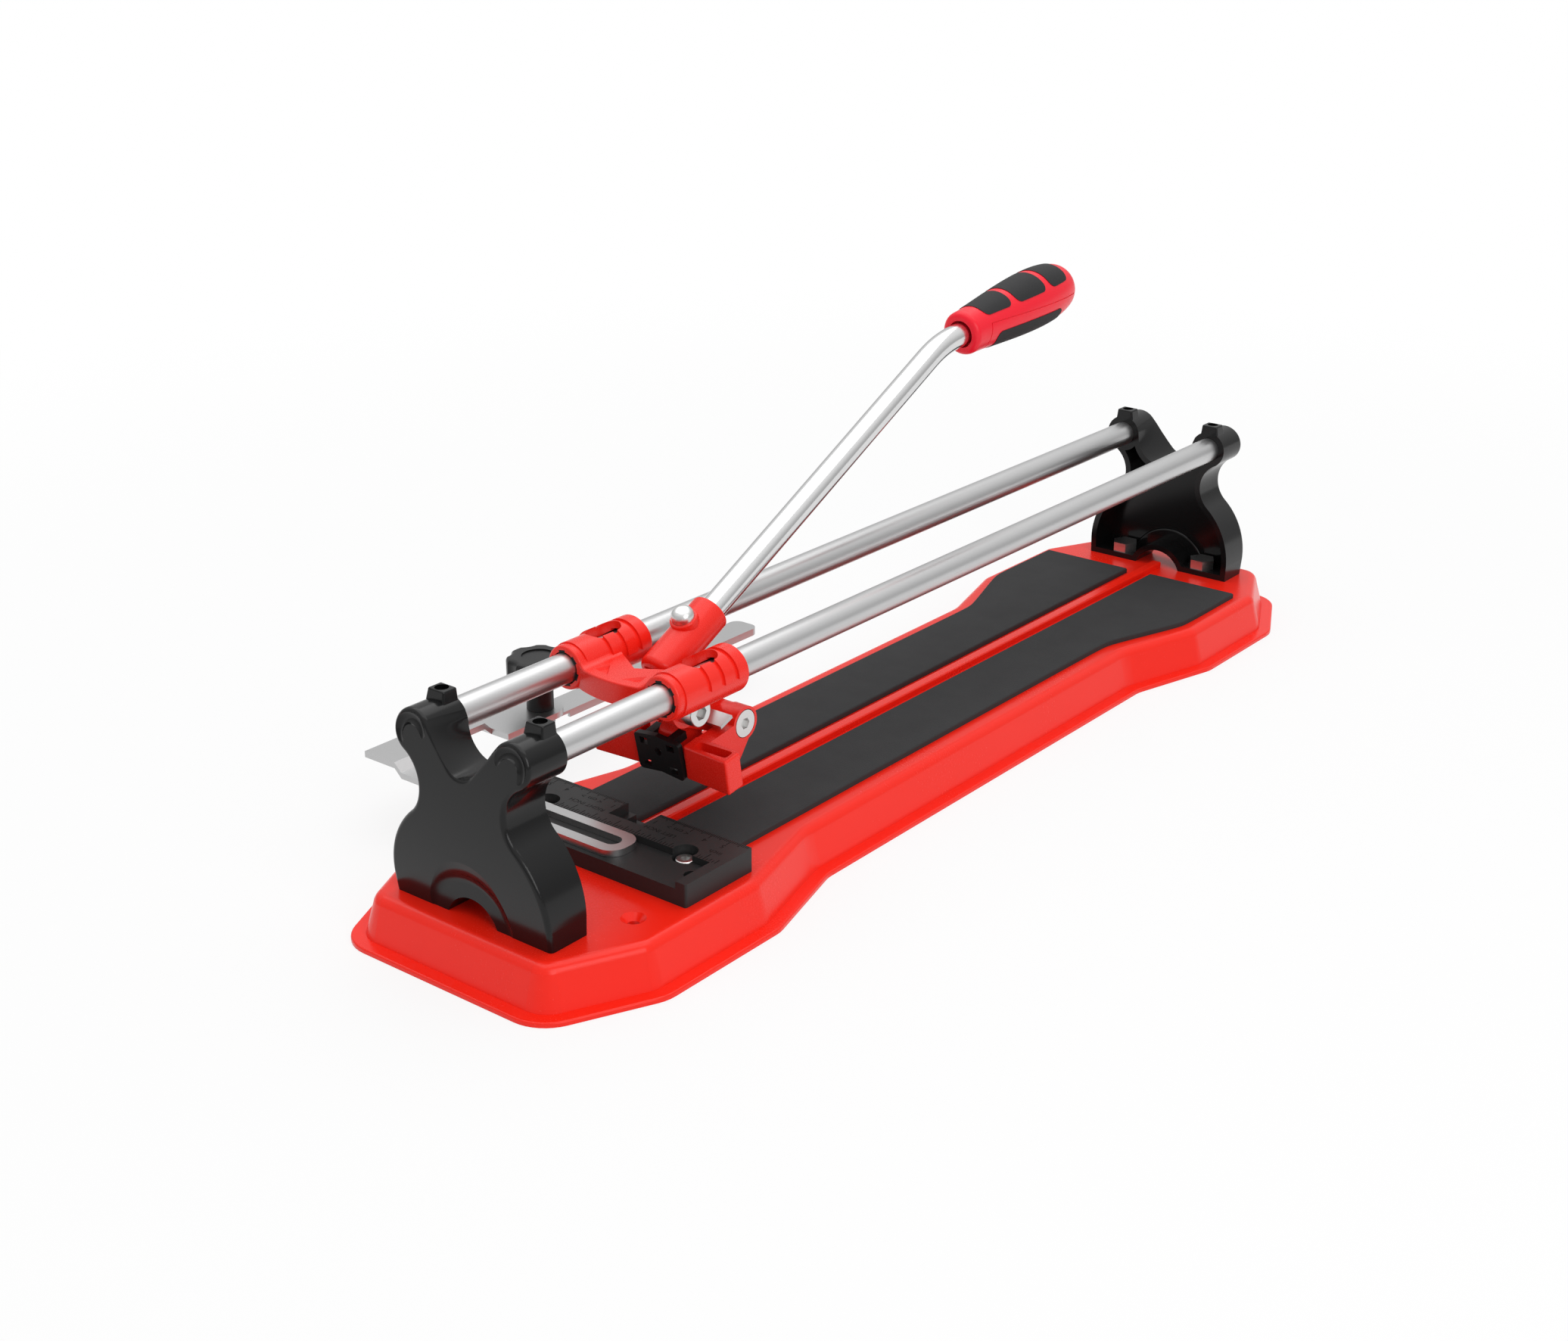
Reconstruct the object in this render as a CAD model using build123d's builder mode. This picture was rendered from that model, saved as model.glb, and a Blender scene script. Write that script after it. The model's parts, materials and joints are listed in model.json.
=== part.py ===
"""Manual tile cutter.

A waisted tray base carries two rubber pads and two cast supports. The supports hold a pair of round
rails. A carriage slides along the rails with a lever, a scoring wheel and a breaker. A ruled fence
squares the tile, and a side stop slides in it. Millimetres, Z up. X runs across the rails, Y along
them with the fence at the -Y end, and the origin lies on the ground at the middle of the base.
"""
import os
from math import asin, atan2, cos, degrees, hypot, radians, sin, sqrt, tan

from build123d import *

# Base tray, a pressed shell with a turned-out lip
base_length = 615.4
base_end_width = 112.0
base_wide_width = 159.0
base_narrow_width = 130.2
base_wide_outer = 258.0
base_wide_inner = 186.8
base_narrow_end = 135.2
base_corner_round = 20.0
base_height = 20.9
base_wall = 2.4
base_draft = 16.0
base_edge_round = 5.0
lip_width = 5.6
lip_thickness = 2.2
lip_round = 0.9
rib_width = 5.6
rib_height = 3.1
rib_round = 0.9
mount_hole_radius = 2.6
mount_hole_x = 49.2
mount_hole_y = 63.4 - base_length / 2
mount_dimple_radius = 5.4
mount_dimple_depth = 2.8
mount_cup_radius = 7.4
mount_cup_depth = 5.0

# Pads
pad_thickness = 2.9
pad_inner_x = 7.6
pad_narrow_x = 43.4
pad_wide_x = 60.9
pad_step_start = 137.0
pad_step_end = 188.0
pad_rear = base_length / 2 - 62.2
pad_gap = 0.4
pad_corner_round = 6.0

# Rails
rail_radius = 6.66
rail_half_spacing = 27.35
rail_height = 96.5
rail_insertion = 15.5
rail_bore_clearance = 0.05

# Supports
support_inner = base_length / 2 - 41.2
support_thickness = 20.0
support_bow = 3.4
support_bow_height = 64.0
support_foot_width = 88.6
support_flare_width = 89.2
support_flare_height = 30.0
support_waist_width = 48.4
support_waist_height = 74.0
support_boss_radius = 10.1
support_valley_height = 84.4
support_valley_round = 8.0
valley_inner_height = 82.0
valley_inner_round = 14.5
support_wall = 3.2
support_skin = 4.6
support_edge_round = 2.0
boss_cove_inset = 3.4
boss_cove_radius = 3.2
boss_cove_depth = 0.5
boss_cove_tilt = 15.5
boss_cove_lean = 4.0
arch_radius = 14.9
arch_drop = 5.3
arch_band = 6.5
arch_sink = 0.3
arch_cove_radius = 8.0
arch_cove_turn = 32.0
arch_brow_radius = 10.0
arch_brow_turn = 12.0
arch_swell = 1.5
arch_swell_round = 1.3
lug_base_width = 12.8
lug_base_depth = 10.5
lug_top_width = 9.2
lug_top_depth = 7.4
lug_top_height = rail_height + rail_radius + 7.24
lug_round = 0.9
set_screw_radius = 3.0
set_screw_sink = 2.4
set_screw_offset = 4.0
support_bolt_x = 25.5
support_bolt_inset = 7.2
bolt_radius = 4.0
bolt_clearance = 0.25
bolt_head_flat = 6.5
bolt_head_height = 5.3
bolt_nut_height = 6.5
bolt_end = 1.5
nut_flat = 5.0
nut_height = 5.0

# Fence
fence_rear = 125.6 - base_length / 2
fence_depth = 43.1
fence_length = 121.4
fence_height = 10.7
fence_shelf_depth = 3.3
fence_ruler_depth = 21.2
fence_rim = 5.6
fence_round = 1.2
fence_notch_width = 19.0
fence_notch_depth = 13.0
fence_notch_drop = 4.4
fence_notch_pocket_width = 10.0
fence_notch_pocket_drop = 2.6
fence_screw_x = 40.0
fence_screw_y = fence_rear - 19.4
fence_screw_radius = 2.5
fence_screw_head_radius = 4.4
fence_screw_head_height = 3.6
fence_counterbore_radius = 5.7
fence_counterbore_drop = 7.2
fence_pin_hole_radius = 3.4
fence_pin_hole_x = 52.3
fence_pin_hole_y = fence_rear - 29.7
fence_pin_hole_depth = 4.5

# Side stop: slotted arm, swivel bar, clamp knob
arm_width = 19.2
arm_thickness = 3.0
arm_gap = 0.1
arm_tip_x = 18.6
arm_tip_round = 8.0
arm_slot_width = 8.2
arm_slot_tip = 5.2
arm_slot_end_x = -96.0
arm_rise = 4.0
arm_rise_run = 4.2
arm_rise_x = -111.0
arm_outer_x = -135.0
arm_drop_y = fence_rear + 16.1
arm_screw_x = -45.0
arm_screw_radius = 2.5
arm_screw_head_radius = 5.6
arm_screw_head_height = 3.0
arm_screw_depth = 5.0
swivel_x = -115.0
swivel_y = fence_rear + 53.1
tongue_radius = 11.0
bar_width = 16.0
bar_thickness = 3.8
bar_sheet = 1.5
bar_length = 157.6
bar_corner_round = 5.0
bar_tongue = 12.0
bar_gap = 0.1
bar_lead = 10.0
stop_bolt_radius = 3.0
stop_bolt_fit = 0.08
stop_bolt_head_radius = 7.0
stop_bolt_head_height = 2.2
knob_radius = 15.5
knob_height = 11.5
knob_neck_radius = 6.6
knob_neck_height = 15.6
knob_lobes = 7
knob_scallop_radius = 9.0
knob_scallop_bite = 1.3
knob_dish_radius = 8.2
knob_dish_depth = 0.7
knob_thread_depth = 22.0
knob_round = 2.6

# Carriage
carriage_front = fence_rear - 18.4
sleeve_length = 45.0
sleeve_radius = 10.5
sleeve_round = 1.2
nose_length = 4.2
nose_radius = 9.9
band_height = 1.0
band_length = 6.2
band_pitch = 8.95
band_end = 1.9
sleeve_bands = 3
window_length = 18.4
window_width = 10.2
window_middle = 24.4
bush_length = 9.0
bush_wall = 1.5
bush_fit = 0.06
bush_relief = 0.6
bush_lip = 1.2
bush_tabs = 6
bush_tab_width = 3.4
bush_tab_depth = 1.2
bush_tab_start = 100.0
bridge_top = rail_height + 2.5
bridge_depth = 10.0
bridge_bow = 3.1
bridge_vertex_y = carriage_front + 13.9
bridge_wing_x = 15.5
bridge_wing_y = carriage_front + 23.5
bridge_round = 0.9
bridge_blend = 5.0
bridge_blend_sink = 0.4
chevron_width = 6.3
chevron_height = 0.9
chevron_draft = 35.0
pocket_corners = ((12.5, 3.0), (3.8, 1.5), (10.4, 10.5))
bridge_pocket_depth = 1.1
hanger_width = 8.6
hanger_radius = 8.0
hanger_root = 13.0

# Lever
pivot_y = carriage_front + 33.3
pivot_z = rail_height - 19.2
pivot_boss_radius = 9.0
pivot_boss_width = 24.0
pivot_bolt_radius = 4.0
pivot_fit = 0.05
pivot_head_radius = 6.5
pivot_head_length = 8.0
pivot_nut_flat = 6.5
pivot_nut_length = 6.0
hex_socket_flat = 3.0
head_web_width = 13.0
fork_clearance = 0.35
fork_reach = 19.5
rod_tilt = 26.75
rod_offset = 15.5
rod_radius = 5.85
rod_fit = 0.02
rod_start = 17.0
socket_start = 1.0
socket_end = 42.0
socket_radius = 9.0
socket_foot_round = 3.0
socket_mouth_round = 1.0
clamp_screw_at = 27.0
clamp_boss_radius = 6.4
clamp_boss_height = 10.4
clamp_boss_round = 0.9
clamp_screw_radius = 3.0
clamp_head_radius = 5.3
clamp_head_height = 5.0
clamp_head_round = 4.3
bend_y = pivot_y + 201.9
bend_radius = 60.0
handle_tilt = 6.0
handle_start = 17.5
handle_length = 92.5
handle_collar_radius = 10.8
handle_collar_round = 3.0
handle_neck_at = 16.5
handle_neck_radius = 11.6
handle_swell_radius = 14.5
handle_swell_at = 57.0
handle_end_radius = 12.4
handle_end_at = 84.5
handle_end_slope = 0.28
rod_in_handle = 46.0
handle_mouth_gap = 0.9
handle_mouth_depth = 4.0
grip_inset = 1.6
grip_proud = 0.3
grip_round = 3.5
grip_top_edge = 7.5
grip_top_panels = ((10.2, 20.8), (35.0, 24.0), (63.2, 17.0))
grip_under_start = (16.0, -2.1)
grip_under_end = (71.0, -4.6)
grip_under_lean = 4.0
seam_width = 0.5
seam_depth = 0.35
seam_corner = (12.2, 3.8)
seam_foot = (10.0, -9.0)
seam_end = (84.0, -1.0)

# Breaker, its stop plate and the wheel
breaker_y = pivot_y + 30.0
breaker_z = pivot_z - 15.0
breaker_boss_radius = 7.5
breaker_ear_radius = 8.0
breaker_ear_inner = 12.3
breaker_ear_outer = 20.0
breaker_bolt_radius = 4.0
breaker_bolt_head_radius = 6.3
breaker_bolt_head_depth = 3.2
breaker_head_gap = 0.35
breaker_nut_flat = 6.5
breaker_nut_length = 5.5
breaker_reach = 39.0
breaker_arm_inner = 13.3
breaker_arm_thickness = 10.0
breaker_arm_height = 16.9
breaker_arm_tilt = 9.0
breaker_arm_sweep = 2.0
breaker_pocket_depth = 9.0
breaker_pocket_shift = 0.7
breaker_pocket_wall = 2.3
breaker_round = 1.1
breaker_pocket_round = 1.6
breaker_front_y = pivot_y - 6.7
breaker_top_z = pivot_z - 15.6
cross_web_y = pivot_y + 23.8
cross_web_z = pivot_z - 27.7
cross_web_depth = 4.2
cross_web_height = 7.4
stop_plate_y = pivot_y + 17.2
stop_plate_z = pivot_z - 10.1
stop_plate_depth = 8.2
stop_plate_width = 40.0
stop_plate_thickness = 1.5
stop_plate_tilt = 20.0
wheel_y = pivot_y + 10.7
wheel_z = pivot_z - 25.8
wheel_radius = 8.0
wheel_thickness = 3.2
wheel_bevel = 1.4
wheel_side_gap = 0.5
wheel_axle_radius = 2.5
wheel_axle_fit = 0.05
wheel_edge = 0.4
wheel_axle_end = 1.6
wheel_block_width = 8.6
wheel_block_radius = 5.8
wheel_nose_radius = 4.0
wheel_nose_y = pivot_y + 3.7
wheel_nose_z = pivot_z - 16.0
guard_width = 25.6
guard_height = 20.4
guard_thickness = 2.6
guard_top_y = pivot_y - 7.3
guard_top_z = pivot_z - 13.7
guard_tilt = 12.6
guard_peak = 1.6
guard_round = 1.8
guard_slot_x = 7.6
guard_slot_top = 4.6
guard_slot_low = 16.2
guard_slot_width = 4.4
guard_slot_height = 3.2
guard_hole_drop = 8.4
guard_hole_radius = 1.9
guard_prong_width = 4.2
guard_prong_height = 3.8
guard_prong_drop = 3.2
guard_prong_length = 8.0

# Derived places
base_top = base_height
pad_top = base_top + pad_thickness
support_outer = support_inner + support_thickness
support_middle = support_inner + support_bolt_inset
shelf_z = base_top + fence_height - fence_shelf_depth
ruler_front = fence_rear - fence_ruler_depth
arm_low_z = shelf_z + arm_gap
arm_top_z = arm_low_z + arm_thickness
arm_middle_y = ruler_front - arm_gap - arm_width / 2
bar_z = arm_low_z - bar_gap - bar_thickness
knob_low_z = arm_top_z + bar_gap
carriage_rear = carriage_front + sleeve_length
bush_outer = rail_radius + bush_fit + bush_wall
pivot = (pivot_y, pivot_z)
breaker_pivot = (breaker_y, breaker_z)
wheel_axis = (wheel_y, wheel_z)
along = (cos(radians(rod_tilt)), sin(radians(rod_tilt)))
rod_foot = (pivot_y - rod_offset * along[1], pivot_z + rod_offset * along[0])
handle_along = (cos(radians(handle_tilt)), sin(radians(handle_tilt)))


def on_rod(distance, rise=0.0):
    """(Y, Z) of a point along the rod's axis from the pivot's foot, raised square off the axis."""
    y = rod_foot[0] + distance * along[0] - rise * along[1]
    z = rod_foot[1] + distance * along[1] + rise * along[0]
    return (y, z)


bend = (bend_y, rod_foot[1] + (bend_y - rod_foot[0]) * tan(radians(rod_tilt)))


def on_handle(distance, rise=0.0):
    """(Y, Z) of a point along the handle's axis from the rod's bend."""
    y = bend[0] + distance * handle_along[0] - rise * handle_along[1]
    z = bend[1] + distance * handle_along[1] + rise * handle_along[0]
    return (y, z)


def rod_plane(distance):
    """Plane square to the rod, with its X along the part's X."""
    y, z = on_rod(distance)
    return Plane(origin=(0, y, z), x_dir=(1, 0, 0), z_dir=(0, *along))


def clamp_plane(rise):
    """Plane square to the rod's clamp screw, rise off the rod's axis."""
    y, z = on_rod(clamp_screw_at, rise)
    return Plane(origin=(0, y, z), x_dir=(1, 0, 0), z_dir=(0, -along[1], along[0]))


def across(x):
    """Side plane at x, drawn in (Y, Z) and facing +X."""
    return Plane.YZ.offset(x)


def hexagon(flat):
    """Adds a hexagon, flat from its middle to a side, to the open sketch."""
    RegularPolygon(radius=flat, side_count=6, major_radius=False)


os.makedirs("parts", exist_ok=True)


def save(builder, name):
    """Labels a finished piece and writes it as one STEP file."""
    builder.part.label = name
    export_step(builder.part, f"parts/{name}.step")


# Base tray
def base_outline(inset):
    """The waisted outline of the base, drawn in by inset."""
    front = [
        (base_end_width / 2, base_length / 2),
        (base_wide_width / 2, base_wide_outer),
        (base_wide_width / 2, base_wide_inner),
        (base_narrow_width / 2, base_narrow_end),
    ]
    right = front + [(x, -y) for x, y in reversed(front)]
    left = [(-x, y) for x, y in reversed(right)]
    with BuildSketch() as outline:
        with BuildLine():
            Polyline(*right, *left, close=True)
        make_face()
        fillet(outline.vertices(), base_corner_round)
        if inset > 0:
            offset(amount=-inset, mode=Mode.REPLACE)
    return outline.sketch


with BuildPart() as base_tray:
    with BuildSketch():
        add(base_outline(0))
    extrude(amount=lip_thickness)
    fillet(base_tray.faces().sort_by(Axis.Z)[-1].edges(), lip_round)
    with BuildSketch():
        add(base_outline(lip_width))
    extrude(amount=base_height, taper=base_draft)
    fillet(base_tray.faces().sort_by(Axis.Z)[-1].edges(), base_edge_round)
    with BuildSketch():
        add(base_outline(lip_width + base_wall))
    extrude(amount=base_height - base_wall, taper=base_draft, mode=Mode.SUBTRACT)
    with BuildSketch(Plane.XY.offset(base_top)):
        with Locations((0, (fence_rear + pad_gap + support_inner) / 2)):
            Rectangle(rib_width, support_inner - fence_rear - pad_gap)
    rib = extrude(amount=rib_height)
    fillet(rib.edges().filter_by(Axis.Y).group_by(Axis.Z)[-1], rib_round)
    with BuildSketch(Plane.XY.offset(base_top)):
        with GridLocations(2 * support_bolt_x, 2 * support_middle, 2, 2):
            Circle(bolt_radius + bolt_clearance)
        with Locations((0, fence_screw_y)):
            with GridLocations(2 * fence_screw_x, 0, 2, 1):
                Circle(fence_screw_radius + bolt_clearance)
    extrude(amount=-2 * base_wall, mode=Mode.SUBTRACT)
    on_top = (Align.CENTER, Align.CENTER, Align.MAX)
    with Locations((-mount_hole_x, mount_hole_y, base_top), (mount_hole_x, mount_hole_y, base_top)):
        Cylinder(mount_cup_radius, mount_cup_depth, align=on_top)
        Cone(mount_hole_radius, mount_dimple_radius, mount_dimple_depth, align=on_top, mode=Mode.SUBTRACT)
        Cylinder(mount_hole_radius, mount_cup_depth, align=on_top, mode=Mode.SUBTRACT)
save(base_tray, "base_tray")

# Pads
with BuildPart() as pad_right:
    with BuildSketch(Plane.XY.offset(base_top)) as pad_face:
        with BuildLine():
            Polyline(
                (pad_inner_x, fence_rear + pad_gap),
                (pad_narrow_x, fence_rear + pad_gap),
                (pad_narrow_x, pad_step_start),
                (pad_wide_x, pad_step_end),
                (pad_wide_x, pad_rear),
                (pad_inner_x, pad_rear),
                close=True,
            )
        make_face()
        step = pad_face.vertices().filter_by_position(Axis.Y, pad_step_start, pad_step_end)
        fillet(step, pad_corner_round)
    extrude(amount=pad_thickness)
save(pad_right, "pad_right")

with BuildPart() as pad_left:
    mirror(pad_right.part, about=Plane.YZ)
save(pad_left, "pad_left")

# Supports
waist_inset = support_waist_width / 2 - rail_half_spacing
waist_drop = rail_height - support_waist_height
waist_radius = (waist_inset**2 + waist_drop**2 - support_boss_radius**2) / (
    2 * (support_boss_radius - waist_inset)
)
waist_centre = (support_waist_width / 2 + waist_radius, support_waist_height)
flare_reach = support_flare_width / 2 - waist_centre[0]
flare_rise = support_waist_height - support_flare_height
flare_radius = (flare_reach**2 + flare_rise**2 - waist_radius**2) / (2 * (waist_radius + flare_reach))
flare_centre = (support_flare_width / 2 - flare_radius, support_flare_height)
boss_centre = (rail_half_spacing, rail_height)
flare_angle = degrees(atan2(waist_centre[1] - flare_centre[1], waist_centre[0] - flare_centre[0]))
boss_angle = degrees(atan2(waist_centre[1] - boss_centre[1], waist_centre[0] - boss_centre[0]))
valley_centre = (0.0, support_valley_height + support_valley_round)
inner_valley_centre = (
    rail_half_spacing - support_boss_radius - valley_inner_round,
    valley_inner_height + valley_inner_round,
)
valley_span = hypot(rail_half_spacing, rail_height - valley_centre[1])
valley_lean = degrees(atan2(rail_height - valley_centre[1], rail_half_spacing))
valley_slope = valley_lean + degrees(asin((support_boss_radius + support_valley_round) / valley_span))


def support_outline(inner, inset):
    """The two-armed outline of a support in (X, Z), with its inner or outer valley, drawn in."""
    with BuildSketch() as outline:
        with BuildLine():
            floor = Line((0, base_top), (support_foot_width / 2, base_top))
            Line(floor @ 1, (support_flare_width / 2, support_flare_height))
            CenterArc(flare_centre, flare_radius, 0, flare_angle)
            CenterArc(waist_centre, waist_radius, 180 + flare_angle, boss_angle - flare_angle)
            if inner:
                CenterArc(boss_centre, support_boss_radius, boss_angle, 180 - boss_angle)
                CenterArc(inner_valley_centre, valley_inner_round, 270, 90)
                Line((0, valley_inner_height), (inner_valley_centre[0], valley_inner_height))
            else:
                boss_sweep = 90 + valley_slope - boss_angle
                boss = CenterArc(boss_centre, support_boss_radius, boss_angle, boss_sweep)
                valley = CenterArc(valley_centre, support_valley_round, 270, valley_slope)
                Line(boss @ 1, valley @ 1)
            mirror(about=Plane.YZ)
        make_face()
        if inset > 0:
            offset(amount=-inset, mode=Mode.REPLACE)
    return outline.sketch


def valley_section(bottom, points):
    """A smooth valley from its bottom up through points, closed along the top, in (X, Z)."""
    with BuildSketch() as section:
        with BuildLine():
            half = Spline((0, bottom), *points, tangents=((1, 0), flank))
            Line(half @ 1, (0, points[-1][1]))
            mirror(about=Plane.YZ)
        make_face()
    return section.sketch


def on_round(centre, radius, angle):
    """Point on a round in (X, Z)."""
    turn = radians(angle)
    return (centre[0] + radius * cos(turn), centre[1] + radius * sin(turn))


def on_flank(share):
    """Point on the straight flank of the outer valley, a share of the way up to the boss."""
    low = on_round(valley_centre, support_valley_round, valley_slope - 90)
    top = on_round(boss_centre, support_boss_radius, valley_slope + 90)
    return (low[0] + share * (top[0] - low[0]), low[1] + share * (top[1] - low[1]))


def bow_at(height):
    """How far the bowed outer face of a support stands out at a height."""
    middle = (base_top + lug_top_height) / 2
    half = (lug_top_height - base_top) / 2
    peak = 1 - ((support_bow_height - middle) / half) ** 2
    return support_bow * (1 - ((height - middle) / half) ** 2) / peak


flank = (cos(radians(valley_slope)), sin(radians(valley_slope)))
outer_valley = [on_flank(share) for share in (0, 0.35, 0.7, 0.9, 1.0, 1.25)]
inner_valley = [on_round(inner_valley_centre, valley_inner_round, angle) for angle in (305, 335, 360)]
inner_valley += [on_round(boss_centre, support_boss_radius, angle) for angle in (165, 150)]
inner_valley.append(on_round(boss_centre, support_boss_radius + support_edge_round, 128))
arch_centre = base_top - arch_drop

with BuildPart() as lug:
    with BuildSketch(Plane.XY.offset(rail_height)):
        with Locations((0, -support_inner - lug_base_depth / 2)):
            Rectangle(lug_base_width, lug_base_depth)
    with BuildSketch(Plane.XY.offset(lug_top_height)):
        with Locations((0, -support_inner - lug_top_depth / 2)):
            Rectangle(lug_top_width, lug_top_depth)
    loft(ruled=True)
    levels = lug.edges().group_by(Axis.Z)
    fillet(levels[1] + levels[2], lug_round)

with BuildPart() as arch_back:
    with BuildSketch(Plane.XZ.offset(support_outer - support_skin - arch_swell)):
        with Locations((0, arch_centre)):
            Circle(arch_radius + arch_band + support_wall)
    extrude(amount=2 * arch_swell)
    fillet(arch_back.faces().sort_by(Axis.Y)[-1].edges(), arch_swell_round)
    split(bisect_by=Plane.XY.offset(base_top + support_wall / 2), keep=Keep.TOP)

with BuildPart() as support_front:
    with BuildSketch(Plane.XZ.offset(support_inner)):
        add(support_outline(False, 0))
    extrude(amount=support_thickness + 2 * support_bow)
    with BuildSketch(Plane.YZ):
        with BuildLine():
            face_low = (-support_outer, base_top)
            face_top = (-support_outer, lug_top_height)
            ThreePointArc(face_low, (-support_outer - support_bow, support_bow_height), face_top)
            Polyline(face_top, (-support_inner, lug_top_height), (-support_inner, base_top), face_low)
        make_face()
    extrude(amount=support_foot_width, both=True, mode=Mode.INTERSECT)
    outer_face = support_front.faces().sort_by(Axis.Y)[0]
    fillet(outer_face.edges().filter_by_position(Axis.Z, base_top + 1, 2 * rail_height), support_edge_round)
    with BuildSketch(Plane.XZ.offset(support_inner)):
        add(valley_section(valley_inner_height, inner_valley))
    with BuildSketch(Plane.XZ.offset(support_outer + 2 * support_bow)):
        add(valley_section(support_valley_height, outer_valley))
    loft(ruled=True, mode=Mode.SUBTRACT)
    for side in (-1, 1):
        cove_y = support_outer + bow_at(rail_height) + boss_cove_radius - boss_cove_depth
        axis_x = -side * tan(radians(boss_cove_lean))
        axis = (axis_x, 1, -tan(radians(boss_cove_tilt)))
        with Locations(Plane((side * rail_half_spacing, -cove_y, rail_height), z_dir=axis)):
            Torus(support_boss_radius - boss_cove_inset, boss_cove_radius, mode=Mode.SUBTRACT)
    with BuildSketch(Plane.YZ):
        with BuildLine():
            ring = -support_outer + arch_sink
            clear = -support_outer - 3 * support_bow
            band = Line((ring, arch_centre), (ring, arch_centre + arch_radius + arch_band))
            cove = JernArc(band @ 1, (0, 1), arch_cove_radius, arch_cove_turn)
            brow = JernArc(cove @ 1, cove % 1, arch_brow_radius, arch_brow_turn - arch_cove_turn)
            rise = (brow @ 1).X - clear
            slope = Line(brow @ 1, (clear, (brow @ 1).Y + rise / tan(radians(arch_brow_turn))))
            Polyline(slope @ 1, (clear, arch_centre), band @ 0)
        make_face()
    revolve(axis=Axis((0, 0, arch_centre), (0, 1, 0)), mode=Mode.SUBTRACT)
    with BuildSketch(Plane.XZ.offset(support_inner)):
        add(support_outline(True, support_wall))
        with GridLocations(2 * rail_half_spacing, 0, 2, 1):
            with Locations((0, rail_height)):
                Circle(support_boss_radius, mode=Mode.SUBTRACT)
        with Locations((0, arch_centre)):
            Circle(arch_radius + support_wall, mode=Mode.SUBTRACT)
    extrude(amount=support_thickness - support_skin, mode=Mode.SUBTRACT)
    add(arch_back.part)
    with Locations((-rail_half_spacing, 0, 0), (rail_half_spacing, 0, 0)):
        add(lug.part)
    with BuildSketch(Plane.XZ.offset(support_inner)):
        with Locations((-rail_half_spacing, rail_height), (rail_half_spacing, rail_height)):
            Circle(rail_radius + rail_bore_clearance)
    extrude(amount=rail_insertion, mode=Mode.SUBTRACT)
    with BuildSketch(Plane.XZ.offset(support_inner)):
        with Locations((0, arch_centre)):
            Circle(arch_radius)
    extrude(amount=support_thickness + 2 * support_bow, mode=Mode.SUBTRACT)
    with BuildSketch(Plane.XY.offset(lug_top_height)):
        with Locations((0, -support_inner - set_screw_offset)):
            with GridLocations(2 * rail_half_spacing, 0, 2, 1):
                Circle(set_screw_radius)
    extrude(amount=rail_height - lug_top_height, mode=Mode.SUBTRACT)
    with BuildSketch(Plane.XY.offset(base_top)):
        with Locations((0, -support_middle)):
            with GridLocations(2 * support_bolt_x, 0, 2, 1):
                Circle(bolt_radius + bolt_clearance)
    extrude(amount=support_wall, mode=Mode.SUBTRACT)
save(support_front, "support_front")

with BuildPart() as support_rear:
    mirror(support_front.part, about=Plane.XZ)
save(support_rear, "support_rear")

with BuildPart() as support_bolts:
    with BuildSketch(Plane.XY.offset(base_top + support_wall)):
        with GridLocations(2 * support_bolt_x, 2 * support_middle, 2, 2):
            hexagon(bolt_head_flat)
    extrude(amount=bolt_head_height)
    with BuildSketch(Plane.XY.offset(base_top + support_wall)):
        with GridLocations(2 * support_bolt_x, 2 * support_middle, 2, 2):
            Circle(bolt_radius)
    extrude(amount=-support_wall - base_wall - bolt_nut_height - bolt_end)
save(support_bolts, "support_bolts")

with BuildPart() as support_nuts:
    with BuildSketch(Plane.XY.offset(base_top - base_wall)):
        with GridLocations(2 * support_bolt_x, 2 * support_middle, 2, 2):
            hexagon(bolt_head_flat)
            Circle(bolt_radius, mode=Mode.SUBTRACT)
    extrude(amount=-bolt_nut_height)
save(support_nuts, "support_nuts")

# Rails and the grub screws that clamp them
for side, name in ((-1, "rail_left"), (1, "rail_right")):
    with BuildPart() as rail:
        with BuildSketch(Plane.XZ):
            with Locations((side * rail_half_spacing, rail_height)):
                Circle(rail_radius)
        extrude(amount=support_inner + rail_insertion, both=True)
    save(rail, name)

with BuildPart() as rail_set_screws:
    screw_y = 2 * (support_inner + set_screw_offset)
    screw_top = lug_top_height - set_screw_sink
    with BuildSketch(Plane.XY.offset(rail_height + rail_radius)):
        with GridLocations(2 * rail_half_spacing, screw_y, 2, 2):
            Circle(set_screw_radius)
    extrude(amount=screw_top - rail_height - rail_radius)
    with BuildSketch(Plane.XY.offset(screw_top)):
        with GridLocations(2 * rail_half_spacing, screw_y, 2, 2):
            hexagon(set_screw_radius / 2)
    extrude(amount=-set_screw_radius, mode=Mode.SUBTRACT)
save(rail_set_screws, "rail_set_screws")

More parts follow.
